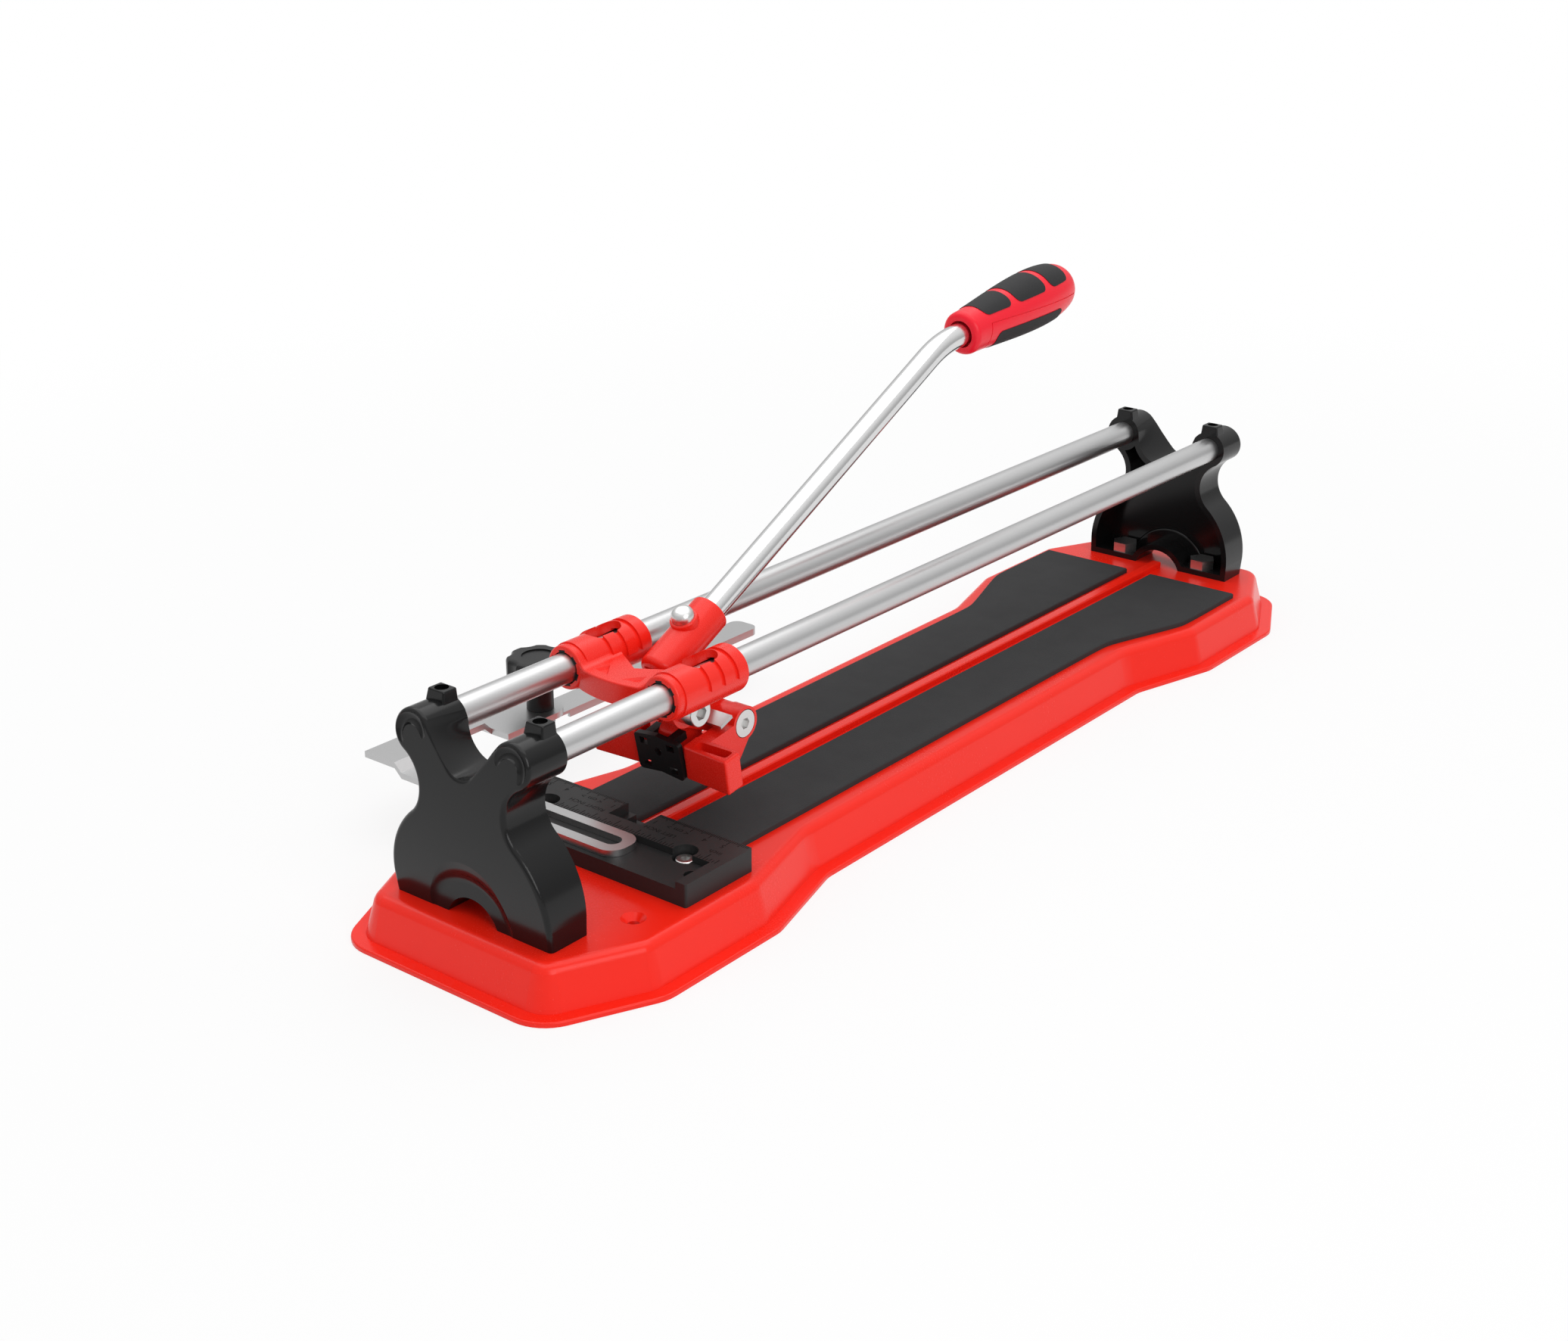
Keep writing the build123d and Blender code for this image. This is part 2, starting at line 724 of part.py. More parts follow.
# Fence
with BuildPart() as fence:
    fence_middle = fence_rear - fence_depth / 2
    fence_front = fence_rear - fence_depth
    fence_top = base_top + fence_height
    with BuildSketch(Plane.XY.offset(base_top)) as fence_plan:
        with Locations((0, fence_middle)):
            Rectangle(fence_length, fence_depth)
        fillet(fence_plan.vertices(), fence_round)
    extrude(amount=fence_height)
    with BuildSketch(Plane.XY.offset(fence_top)):
        shelf_right = fence_length / 2 - fence_rim
        with Locations(((shelf_right - fence_length) / 2, (fence_front - 1 + ruler_front) / 2)):
            Rectangle(shelf_right + fence_length, ruler_front - fence_front + 1)
    extrude(amount=-fence_shelf_depth, mode=Mode.SUBTRACT)
    with BuildSketch(Plane.XY.offset(fence_top)):
        with Locations((0, fence_rear - fence_notch_depth / 2)):
            Rectangle(fence_notch_width, fence_notch_depth)
    extrude(amount=-fence_notch_drop, mode=Mode.SUBTRACT)
    with BuildSketch(Plane.XY.offset(fence_top - fence_notch_drop)):
        with Locations((0, fence_rear - fence_notch_depth / 3)):
            Rectangle(fence_notch_pocket_width, fence_notch_depth * 2 / 3)
    extrude(amount=-fence_notch_pocket_drop, mode=Mode.SUBTRACT)
    with BuildSketch(Plane.XY.offset(fence_top)):
        with Locations((-fence_screw_x, fence_screw_y), (fence_screw_x, fence_screw_y)):
            Circle(fence_counterbore_radius)
    extrude(amount=-fence_counterbore_drop, mode=Mode.SUBTRACT)
    with BuildSketch(Plane.XY.offset(fence_top)):
        with Locations((-fence_screw_x, fence_screw_y), (fence_screw_x, fence_screw_y)):
            Circle(fence_screw_radius + bolt_clearance)
    extrude(amount=-fence_height, mode=Mode.SUBTRACT)
    with BuildSketch(Plane.XY.offset(shelf_z)):
        with Locations((-fence_pin_hole_x, fence_pin_hole_y), (fence_pin_hole_x, fence_pin_hole_y)):
            Circle(fence_pin_hole_radius)
    extrude(amount=-fence_pin_hole_depth, mode=Mode.SUBTRACT)
    with BuildSketch(Plane.XY.offset(shelf_z)):
        with Locations((arm_screw_x, arm_middle_y)):
            Circle(arm_screw_radius)
    extrude(amount=-arm_screw_depth, mode=Mode.SUBTRACT)
save(fence, "fence")

with BuildPart() as fence_screws:
    head_seat = base_top + fence_height - fence_counterbore_drop
    with BuildSketch(Plane.XY.offset(head_seat)):
        with Locations((-fence_screw_x, fence_screw_y), (fence_screw_x, fence_screw_y)):
            Circle(fence_screw_head_radius)
    extrude(amount=fence_screw_head_height)
    fillet(fence_screws.faces().group_by(Axis.Z)[-1].edges(), 0.8)
    with BuildSketch(Plane.XY.offset(head_seat + fence_screw_head_height)):
        with Locations((-fence_screw_x, fence_screw_y), (fence_screw_x, fence_screw_y)):
            hexagon(fence_screw_radius * 0.8)
    extrude(amount=-fence_screw_radius, mode=Mode.SUBTRACT)
    with BuildSketch(Plane.XY.offset(head_seat)):
        with Locations((-fence_screw_x, fence_screw_y), (fence_screw_x, fence_screw_y)):
            Circle(fence_screw_radius)
    extrude(amount=base_top - base_wall - nut_height - head_seat)
save(fence_screws, "fence_screws")

with BuildPart() as fence_nuts:
    with BuildSketch(Plane.XY.offset(base_top - base_wall)):
        with Locations((-fence_screw_x, fence_screw_y), (fence_screw_x, fence_screw_y)):
            hexagon(nut_flat)
            Circle(fence_screw_radius, mode=Mode.SUBTRACT)
    extrude(amount=-nut_height + 1)
save(fence_nuts, "fence_nuts")

# Side stop
with BuildPart() as stop_arm:
    arm_rear = arm_middle_y + arm_width / 2
    arm_front = arm_middle_y - arm_width / 2
    high_x = arm_rise_x - arm_rise_run
    high_z = arm_low_z + arm_rise
    low_y = arm_drop_y + arm_rise_run
    with BuildSketch(Plane.XY.offset(arm_low_z)) as leg:
        with Locations(((arm_tip_x + arm_rise_x) / 2, arm_middle_y)):
            Rectangle(arm_tip_x - arm_rise_x, arm_width)
        fillet(leg.vertices().group_by(Axis.X)[-1], arm_tip_round)
        slot_end = arm_tip_x - arm_slot_tip
        with Locations(((slot_end + arm_slot_end_x) / 2, arm_middle_y)):
            SlotOverall(slot_end - arm_slot_end_x, arm_slot_width, mode=Mode.SUBTRACT)
    extrude(amount=arm_thickness)
    with BuildSketch(Plane.XZ.offset(-arm_rear)):
        with BuildLine():
            Polyline(
                (arm_rise_x, arm_low_z),
                (arm_rise_x, arm_top_z),
                (high_x, high_z + arm_thickness),
                (high_x, high_z),
                close=True,
            )
        make_face()
    extrude(amount=arm_width)
    with BuildSketch(Plane.XY.offset(high_z)):
        with Locations(((arm_outer_x + high_x) / 2, (arm_front + arm_drop_y) / 2)):
            Rectangle(high_x - arm_outer_x, arm_drop_y - arm_front)
    extrude(amount=arm_thickness)
    with BuildSketch(across(swivel_x - tongue_radius)):
        with BuildLine():
            Polyline(
                (arm_drop_y, high_z),
                (arm_drop_y, high_z + arm_thickness),
                (low_y, arm_top_z),
                (low_y, arm_low_z),
                close=True,
            )
        make_face()
    extrude(amount=high_x - swivel_x + tongue_radius)
    with BuildSketch(Plane.XY.offset(arm_low_z)):
        with Locations((swivel_x, swivel_y)):
            Circle(tongue_radius)
        with Locations((swivel_x, (low_y + swivel_y) / 2)):
            Rectangle(2 * tongue_radius, swivel_y - low_y)
        with Locations((swivel_x, swivel_y)):
            Circle(stop_bolt_radius, mode=Mode.SUBTRACT)
    extrude(amount=arm_thickness)
save(stop_arm, "stop_arm")

with BuildPart() as arm_clamp_screw:
    head_low = arm_top_z + arm_gap
    with BuildSketch(Plane.XY.offset(head_low)):
        with Locations((arm_screw_x, arm_middle_y)):
            Circle(arm_screw_head_radius)
    extrude(amount=arm_screw_head_height)
    fillet(arm_clamp_screw.faces().sort_by(Axis.Z)[-1].edges(), 1.2)
    with BuildSketch(Plane.XY.offset(head_low)):
        with Locations((arm_screw_x, arm_middle_y)):
            Circle(arm_screw_radius)
    extrude(amount=shelf_z - arm_screw_depth - head_low)
save(arm_clamp_screw, "arm_clamp_screw")

with BuildPart() as stop_bar:
    bar_start = swivel_y - bar_lead
    channel_start = swivel_y + bar_tongue
    with BuildSketch(Plane.XY.offset(bar_z)) as bar_plan:
        with Locations((swivel_x, bar_start + (bar_length + bar_lead) / 2)):
            Rectangle(bar_width, bar_length + bar_lead)
        fillet(bar_plan.vertices().group_by(Axis.Y)[-1], bar_corner_round)
        fillet(bar_plan.vertices().group_by(Axis.Y)[0], bar_width * 0.45)
        with Locations((swivel_x, swivel_y)):
            Circle(stop_bolt_radius + stop_bolt_fit, mode=Mode.SUBTRACT)
    extrude(amount=bar_thickness)
    with BuildSketch(Plane.XY.offset(bar_z)) as hollow:
        with Locations((swivel_x, (channel_start + swivel_y + bar_length - bar_sheet) / 2)):
            Rectangle(bar_width - 2 * bar_sheet, swivel_y + bar_length - bar_sheet - channel_start)
        fillet(hollow.vertices().group_by(Axis.Y)[-1], bar_corner_round - bar_sheet)
        with Locations((swivel_x, channel_start - bar_lead - bar_tongue / 2)):
            Rectangle(2 * bar_width, 2 * bar_lead + bar_tongue)
    extrude(amount=bar_thickness - bar_sheet, mode=Mode.SUBTRACT)
save(stop_bar, "stop_bar")

with BuildPart() as stop_bolt:
    with BuildSketch(Plane.XY.offset(bar_z - bar_gap)):
        with Locations((swivel_x, swivel_y)):
            Circle(stop_bolt_head_radius)
    extrude(amount=-stop_bolt_head_height)
    fillet(stop_bolt.faces().sort_by(Axis.Z)[0].edges(), 1.2)
    with BuildSketch(Plane.XY.offset(bar_z - bar_gap)):
        with Locations((swivel_x, swivel_y)):
            Circle(stop_bolt_radius)
    extrude(amount=knob_low_z + knob_thread_depth - 1 - bar_z + bar_gap)
save(stop_bolt, "stop_bolt")

with BuildPart() as stop_knob:
    with BuildSketch(Plane.XY.offset(knob_low_z)):
        with Locations((swivel_x, swivel_y)):
            Circle(knob_neck_radius)
    extrude(amount=knob_neck_height)
    with BuildSketch(Plane.XY.offset(knob_low_z + knob_neck_height)):
        with Locations((swivel_x, swivel_y)):
            Circle(knob_radius)
            with PolarLocations(knob_radius + knob_scallop_radius - knob_scallop_bite, knob_lobes):
                Circle(knob_scallop_radius, mode=Mode.SUBTRACT)
    extrude(amount=knob_height)
    fillet(stop_knob.faces().sort_by(Axis.Z)[-1].edges(), knob_round)
    with BuildSketch(Plane.XY.offset(knob_low_z + knob_neck_height + knob_height)):
        with Locations((swivel_x, swivel_y)):
            Circle(knob_dish_radius)
    extrude(amount=-knob_dish_depth, mode=Mode.SUBTRACT)
    with BuildSketch(Plane.XY.offset(knob_low_z)):
        with Locations((swivel_x, swivel_y)):
            Circle(stop_bolt_radius + stop_bolt_fit)
    extrude(amount=knob_thread_depth, mode=Mode.SUBTRACT)
save(stop_knob, "stop_knob")

# Carriage
bridge_low = bridge_top - bridge_depth
hanger_front = carriage_front + 2
rails_at = ((-rail_half_spacing, rail_height), (rail_half_spacing, rail_height))
bush_starts = (carriage_front + bush_lip, carriage_rear - bush_lip - bush_length)


def tab_ring(clearance):
    """The bush's end tabs round one rail: short radial blocks on its bore."""
    with BuildSketch() as tabs:
        middle = rail_radius + bush_fit + bush_tab_depth / 2
        with PolarLocations(middle, bush_tabs, start_angle=bush_tab_start):
            Rectangle(bush_tab_depth + 2 * clearance, bush_tab_width + 2 * clearance)
        Circle(rail_radius + 3 * bush_fit, mode=Mode.SUBTRACT)
    return tabs.sketch


with BuildPart() as bridge:
    with BuildSketch(Plane.XY.offset(bridge_low)):
        with BuildLine():
            right = rail_half_spacing
            shoulder = carriage_front + nose_length
            front = ThreePointArc((-right, shoulder), (0, carriage_front - bridge_bow), (right, shoulder))
            Polyline(
                front @ 1,
                (right, bridge_wing_y),
                (bridge_wing_x, bridge_wing_y),
                (0, bridge_vertex_y),
                (-bridge_wing_x, bridge_wing_y),
                (-right, bridge_wing_y),
                front @ 0,
            )
        make_face()
    extrude(amount=bridge_depth + bridge_blend)
    with BuildSketch(Plane.XZ):
        with BuildLine():
            blend_height = bridge_top + bridge_blend
            blend_span = (sleeve_radius + bridge_blend) ** 2 - (blend_height - rail_height) ** 2
            blend_x = rail_half_spacing - sqrt(blend_span) + bridge_blend_sink
            Line((0, bridge_top), (blend_x, bridge_top))
            blend = CenterArc((blend_x, blend_height), bridge_blend, 270, 60)
            side_top = (right, (blend @ 1).Y)
            Polyline(blend @ 1, side_top, (right, bridge_low), (0, bridge_low))
            mirror(about=Plane.YZ)
        make_face()
    extrude(amount=2 * support_outer, both=True, mode=Mode.INTERSECT)
    front_face = bridge.faces().sort_by(Axis.Y)[0]
    front_top = front_face.edges().filter_by_position(Axis.Z, bridge_top - bridge_round, rail_height * 2)
    fillet(front_top, bridge_round)

with BuildPart() as carriage:
    with BuildSketch(Plane.XZ.offset(-carriage_front)):
        with Locations(*rails_at):
            Circle(nose_radius)
    extrude(amount=-sleeve_length)
    with BuildSketch(Plane.XZ.offset(-carriage_front - nose_length)):
        with Locations(*rails_at):
            Circle(sleeve_radius)
    extrude(amount=nose_length - sleeve_length)
    rims = carriage.edges().filter_by(GeomType.CIRCLE)
    fillet(rims.group_by(Axis.Y)[0] + rims.group_by(Axis.Y)[-1], sleeve_round)
    add(bridge.part)
    for band in range(sleeve_bands):
        start = carriage_rear - band_end - band * band_pitch - band_length
        with BuildSketch(Plane.XZ.offset(-start)):
            with Locations(*rails_at):
                Circle(sleeve_radius + band_height)
            with Locations((0, rail_height - 2 * sleeve_radius)):
                Rectangle(4 * rail_half_spacing, 4 * sleeve_radius, mode=Mode.SUBTRACT)
        extrude(amount=-band_length)
    with BuildSketch(Plane.XY.offset(bridge_top)):
        with BuildLine():
            wing_front = bridge_wing_y - chevron_width
            Polyline(
                (-bridge_wing_x, bridge_wing_y),
                (0, bridge_vertex_y),
                (bridge_wing_x, bridge_wing_y),
                (bridge_wing_x, wing_front),
                (0, bridge_vertex_y - chevron_width),
                (-bridge_wing_x, wing_front),
                close=True,
            )
        make_face()
    extrude(amount=chevron_height, taper=chevron_draft)
    with BuildSketch(Plane.XY.offset(bridge_top)):
        for side in (-1, 1):
            with BuildLine():
                Polyline(*[(side * x, carriage_front + y) for x, y in pocket_corners], close=True)
            make_face()
    extrude(amount=-bridge_pocket_depth, taper=chevron_draft, mode=Mode.SUBTRACT)
    with BuildSketch(Plane.YZ):
        with Locations(pivot):
            Circle(hanger_radius)
        with Locations((hanger_front + hanger_root / 2, bridge_low + 1)):
            Rectangle(hanger_root, 2)
        make_hull()
    extrude(amount=hanger_width / 2, both=True)
    with BuildSketch(Plane.XY.offset(rail_height + 2 * sleeve_radius)):
        with Locations((0, carriage_front + window_middle)):
            with GridLocations(2 * rail_half_spacing, 0, 2, 1):
                SlotOverall(window_length, window_width, rotation=90)
    extrude(amount=-2 * sleeve_radius, mode=Mode.SUBTRACT)
    with BuildSketch(Plane.XZ.offset(-carriage_front + bridge_bow)):
        with Locations(*rails_at):
            Circle(rail_radius + bush_relief)
    extrude(amount=-sleeve_length - bridge_bow, mode=Mode.SUBTRACT)
    for start in bush_starts:
        with BuildSketch(Plane.XZ.offset(-start)):
            with Locations(*rails_at):
                Circle(bush_outer)
        extrude(amount=-bush_length, mode=Mode.SUBTRACT)
    with BuildSketch(Plane.XZ.offset(-carriage_front)):
        with Locations(*rails_at):
            add(tab_ring(bush_fit))
    extrude(amount=-sleeve_length, mode=Mode.SUBTRACT)
    with BuildSketch(Plane.YZ):
        with Locations(pivot):
            Circle(pivot_bolt_radius)
    extrude(amount=hanger_width, both=True, mode=Mode.SUBTRACT)
save(carriage, "carriage")

with BuildPart() as slide_bushes:
    tab_length = bush_lip + bush_length / 2
    for start, tab_start in zip(bush_starts, (carriage_front, carriage_rear - tab_length)):
        with BuildSketch(Plane.XZ.offset(-start)):
            with Locations(*rails_at):
                Circle(bush_outer)
                Circle(rail_radius + bush_fit, mode=Mode.SUBTRACT)
        extrude(amount=-bush_length)
        with BuildSketch(Plane.XZ.offset(-tab_start)):
            with Locations(*rails_at):
                add(tab_ring(0))
        extrude(amount=-tab_length)
save(slide_bushes, "slide_bushes")

boss_side = pivot_boss_width / 2
with BuildPart() as lever_pivot_bolt:
    head_face = boss_side + fork_clearance
    with BuildSketch(across(head_face)):
        with Locations(pivot):
            Circle(pivot_head_radius)
    extrude(amount=pivot_head_length)
    fillet(lever_pivot_bolt.faces().sort_by(Axis.X)[-1].edges(), 0.7)
    with BuildSketch(across(head_face + pivot_head_length)):
        with Locations(pivot):
            hexagon(hex_socket_flat)
    extrude(amount=-pivot_head_length / 2, mode=Mode.SUBTRACT)
    with BuildSketch(across(head_face)):
        with Locations(pivot):
            Circle(pivot_bolt_radius)
    extrude(amount=-2 * head_face - pivot_nut_length - 1.5)
save(lever_pivot_bolt, "lever_pivot_bolt")

with BuildPart() as lever_pivot_nut:
    with BuildSketch(across(-boss_side - fork_clearance)):
        with Locations(pivot):
            hexagon(pivot_nut_flat)
            Circle(pivot_bolt_radius, mode=Mode.SUBTRACT)
    extrude(amount=-pivot_nut_length)
save(lever_pivot_nut, "lever_pivot_nut")

# Lever head
with BuildPart() as socket:
    with BuildSketch(rod_plane(socket_start)):
        Circle(socket_radius)
    extrude(amount=socket_end - socket_start)
    fillet(socket.edges().sort_by(Axis.Y)[0], socket_foot_round)
    fillet(socket.faces().sort_by(Axis.Y)[-1].edges(), socket_mouth_round)

with BuildPart() as lever_head:
    with BuildSketch(clamp_plane(0)):
        Circle(clamp_boss_radius)
    extrude(amount=clamp_boss_height)
    fillet(lever_head.faces().sort_by(Axis.Z)[-1].edges(), clamp_boss_round)
    add(socket.part)
    with BuildSketch(Plane.YZ):
        with Locations(pivot):
            Circle(pivot_boss_radius)
        with Locations(on_rod(socket_start + 5), on_rod(socket_start + 18)):
            Circle(5)
        make_hull()
    extrude(amount=head_web_width / 2, both=True)
    with BuildSketch(Plane.YZ):
        with Locations(pivot):
            Circle(pivot_boss_radius)
        with Locations(breaker_pivot):
            Circle(breaker_boss_radius)
        make_hull()
    extrude(amount=head_web_width / 2, both=True)
    with BuildSketch(Plane.YZ):
        with Locations(pivot):
            Circle(pivot_boss_radius)
        with Locations(breaker_pivot):
            Circle(breaker_boss_radius)
    extrude(amount=pivot_boss_width / 2, both=True)
    with BuildSketch(Plane.YZ):
        middle = ((pivot_y + breaker_y) / 2, (pivot_z + breaker_z) / 2)
        with Locations(middle):
            Circle(pivot_boss_radius - 1.5)
        with Locations((wheel_nose_y, wheel_nose_z)):
            Circle(wheel_nose_radius)
        with Locations(wheel_axis):
            Circle(wheel_block_radius)
        make_hull()
    extrude(amount=wheel_block_width / 2, both=True)
    with BuildSketch(Plane.YZ):
        with Locations(wheel_axis):
            Circle(wheel_radius + 1.2)
        with Locations((wheel_y, wheel_z - wheel_radius)):
            Rectangle(2 * wheel_radius + 2.4, 2 * wheel_radius)
    extrude(amount=wheel_thickness / 2 + wheel_side_gap, both=True, mode=Mode.SUBTRACT)
    with BuildSketch(Plane.YZ):
        with Locations(pivot):
            Circle(hanger_radius + 2.5)
        with BuildLine():
            sweep_start = 78
            sweep_size = 128
            rim = CenterArc(pivot, fork_reach, sweep_start, sweep_size)
            Line(pivot, rim @ 0)
            Line(rim @ 1, pivot)
        make_face()
    extrude(amount=hanger_width / 2 + fork_clearance, both=True, mode=Mode.SUBTRACT)
    with BuildSketch(rod_plane(rod_start)):
        Circle(rod_radius + rod_fit)
    extrude(amount=socket_end - rod_start, mode=Mode.SUBTRACT)
    with BuildSketch(clamp_plane(clamp_boss_height)):
        Circle(clamp_screw_radius)
    extrude(amount=-clamp_boss_height, mode=Mode.SUBTRACT)
    with BuildSketch(Plane.YZ):
        with Locations(pivot):
            Circle(pivot_bolt_radius + pivot_fit)
        with Locations(breaker_pivot):
            Circle(breaker_bolt_radius)
        with Locations(wheel_axis):
            Circle(wheel_axle_radius)
    extrude(amount=pivot_boss_width, both=True, mode=Mode.SUBTRACT)
    with BuildSketch(Plane.YZ):
        with Locations(Location((stop_plate_y, stop_plate_z), stop_plate_tilt)):
            Rectangle(stop_plate_depth, stop_plate_thickness)
    extrude(amount=pivot_boss_width, both=True, mode=Mode.SUBTRACT)
save(lever_head, "lever_head")

with BuildPart() as rod_clamp_screw:
    with BuildSketch(clamp_plane(clamp_boss_height)):
        Circle(clamp_head_radius)
    extrude(amount=clamp_head_height)
    fillet(rod_clamp_screw.faces().sort_by(Axis.Z)[-1].edges(), clamp_head_round)
    with BuildSketch(clamp_plane(clamp_boss_height + clamp_head_height)):
        hexagon(clamp_screw_radius * 0.65)
    extrude(amount=-clamp_head_height / 2, mode=Mode.SUBTRACT)
    with BuildSketch(clamp_plane(clamp_boss_height)):
        Circle(clamp_screw_radius)
    extrude(amount=rod_radius - clamp_boss_height)
save(rod_clamp_screw, "rod_clamp_screw")

# Lever rod and handle
with BuildPart() as lever_rod:
    with BuildLine():
        start = on_rod(rod_start)
        end = on_handle(handle_start + rod_in_handle)
        rod_path = FilletPolyline((0, *start), (0, *bend), (0, *end), radius=bend_radius)
    with BuildSketch(rod_plane(rod_start)):
        Circle(rod_radius)
    sweep(path=rod_path)
save(lever_rod, "lever_rod")

handle_base = on_handle(handle_start)
handle_plane = Plane(origin=(0, *handle_base), x_dir=(0, *handle_along), z_dir=(1, 0, 0))
grip_plane = Plane(
    origin=(0, *handle_base),
    x_dir=(0, *handle_along),
    z_dir=(0, -handle_along[1], handle_along[0]),
)
handle_axis = Axis((0, *handle_base), (0, *handle_along))


def handle_skin(shift):
    """The handle as one turned solid, its skin moved out by shift: collar, neck, swell, rounded end."""
    collar_radius = handle_collar_radius + shift
    with BuildPart() as turned:
        with BuildSketch(handle_plane):
            with BuildLine():
                collar = Line((0, 0), (0, collar_radius - handle_collar_round))
                lip = RadiusArc(collar @ 1, (handle_collar_round, collar_radius), handle_collar_round)
                swell = Spline(
                    lip @ 1,
                    (handle_neck_at, handle_neck_radius + shift),
                    (handle_swell_at, handle_swell_radius + shift),
                    (handle_end_at, handle_end_radius + shift),
                    tangents=((1, 0.02), (1, -handle_end_slope)),
                )
                crown = Spline(
                    swell @ 1,
                    (handle_length + shift, 0),
                    tangents=((1, -handle_end_slope), (0, -1)),
                )
                Line(crown @ 1, (0, 0))
            make_face()
        revolve(axis=handle_axis)
    return turned.part


def let_in(outline, depth, proud):
    """What a side view outline takes out of the handle's skin, from depth inside to proud outside."""
    with BuildPart() as layer:
        with BuildSketch(handle_plane):
            add(outline)
        extrude(amount=2 * handle_swell_radius, both=True)
        add(handle_skin(proud), mode=Mode.INTERSECT)
        add(handle_skin(-depth), mode=Mode.SUBTRACT)
    return layer.part


def strip(start, end, width):
    """A straight strip between two points of the handle's side view, drawn in the open sketch."""
    length = hypot(end[0] - start[0], end[1] - start[1])
    turn = degrees(atan2(end[1] - start[1], end[0] - start[0]))
    with Locations(((start[0] + end[0]) / 2, (start[1] + end[1]) / 2)):
        Rectangle(length + width, width, rotation=turn)


with BuildSketch() as top_panels:
    for start, length in grip_top_panels:
        with Locations((start + length / 2, grip_top_edge + handle_swell_radius)):
            RectangleRounded(length, 2 * handle_swell_radius, grip_round)

with BuildSketch() as under_panel:
    with BuildLine():
        below = -2 * handle_swell_radius
        Polyline(
            grip_under_start,
            grip_under_end,
            (grip_under_end[0] + grip_under_lean, below),
            (grip_under_start[0] + grip_under_lean, below),
            close=True,
        )
    make_face()
    fillet(under_panel.vertices().group_by(Axis.Y)[-1] + under_panel.vertices().group_by(Axis.Y)[-2], grip_round)

with BuildSketch() as seam:
    strip(seam_corner, seam_end, seam_width)
    strip(seam_corner, seam_foot, seam_width)

with BuildPart() as handle_grip_top:
    add(let_in(top_panels.sketch, grip_inset, grip_proud))
save(handle_grip_top, "handle_grip_top")

with BuildPart() as handle_grip_under:
    add(let_in(under_panel.sketch, grip_inset, grip_proud))
save(handle_grip_under, "handle_grip_under")

with BuildPart() as handle_shell:
    add(handle_skin(0))
    add(handle_grip_top.part, mode=Mode.SUBTRACT)
    add(handle_grip_under.part, mode=Mode.SUBTRACT)
    add(let_in(seam.sketch, seam_depth, grip_proud), mode=Mode.SUBTRACT)
    with BuildSketch(Plane(origin=(0, *handle_base), x_dir=(1, 0, 0), z_dir=(0, *handle_along))):
        Circle(rod_radius + rod_fit)
    extrude(amount=rod_in_handle, mode=Mode.SUBTRACT)
    with BuildSketch(Plane(origin=(0, *handle_base), x_dir=(1, 0, 0), z_dir=(0, *handle_along))):
        Circle(rod_radius + handle_mouth_gap)
    extrude(amount=handle_mouth_depth, mode=Mode.SUBTRACT)
save(handle_shell, "handle_shell")

# Breaker
lean = radians(breaker_arm_tilt)


def breaker_section(sweep_back):
    """The arm's leaning section, its front top corner sweep_back behind the tip's."""
    top = (breaker_front_y + sweep_back, breaker_top_z)
    back = (top[0] + breaker_arm_thickness * cos(lean), top[1] + breaker_arm_thickness * sin(lean))
    drop = (breaker_arm_height * sin(lean), -breaker_arm_height * cos(lean))
    with BuildSketch() as section:
        with BuildLine():
            Polyline(
                top,
                back,
                (back[0] + drop[0], back[1] + drop[1]),
                (top[0] + drop[0], top[1] + drop[1]),
                close=True,
            )
        make_face()
    return section.sketch


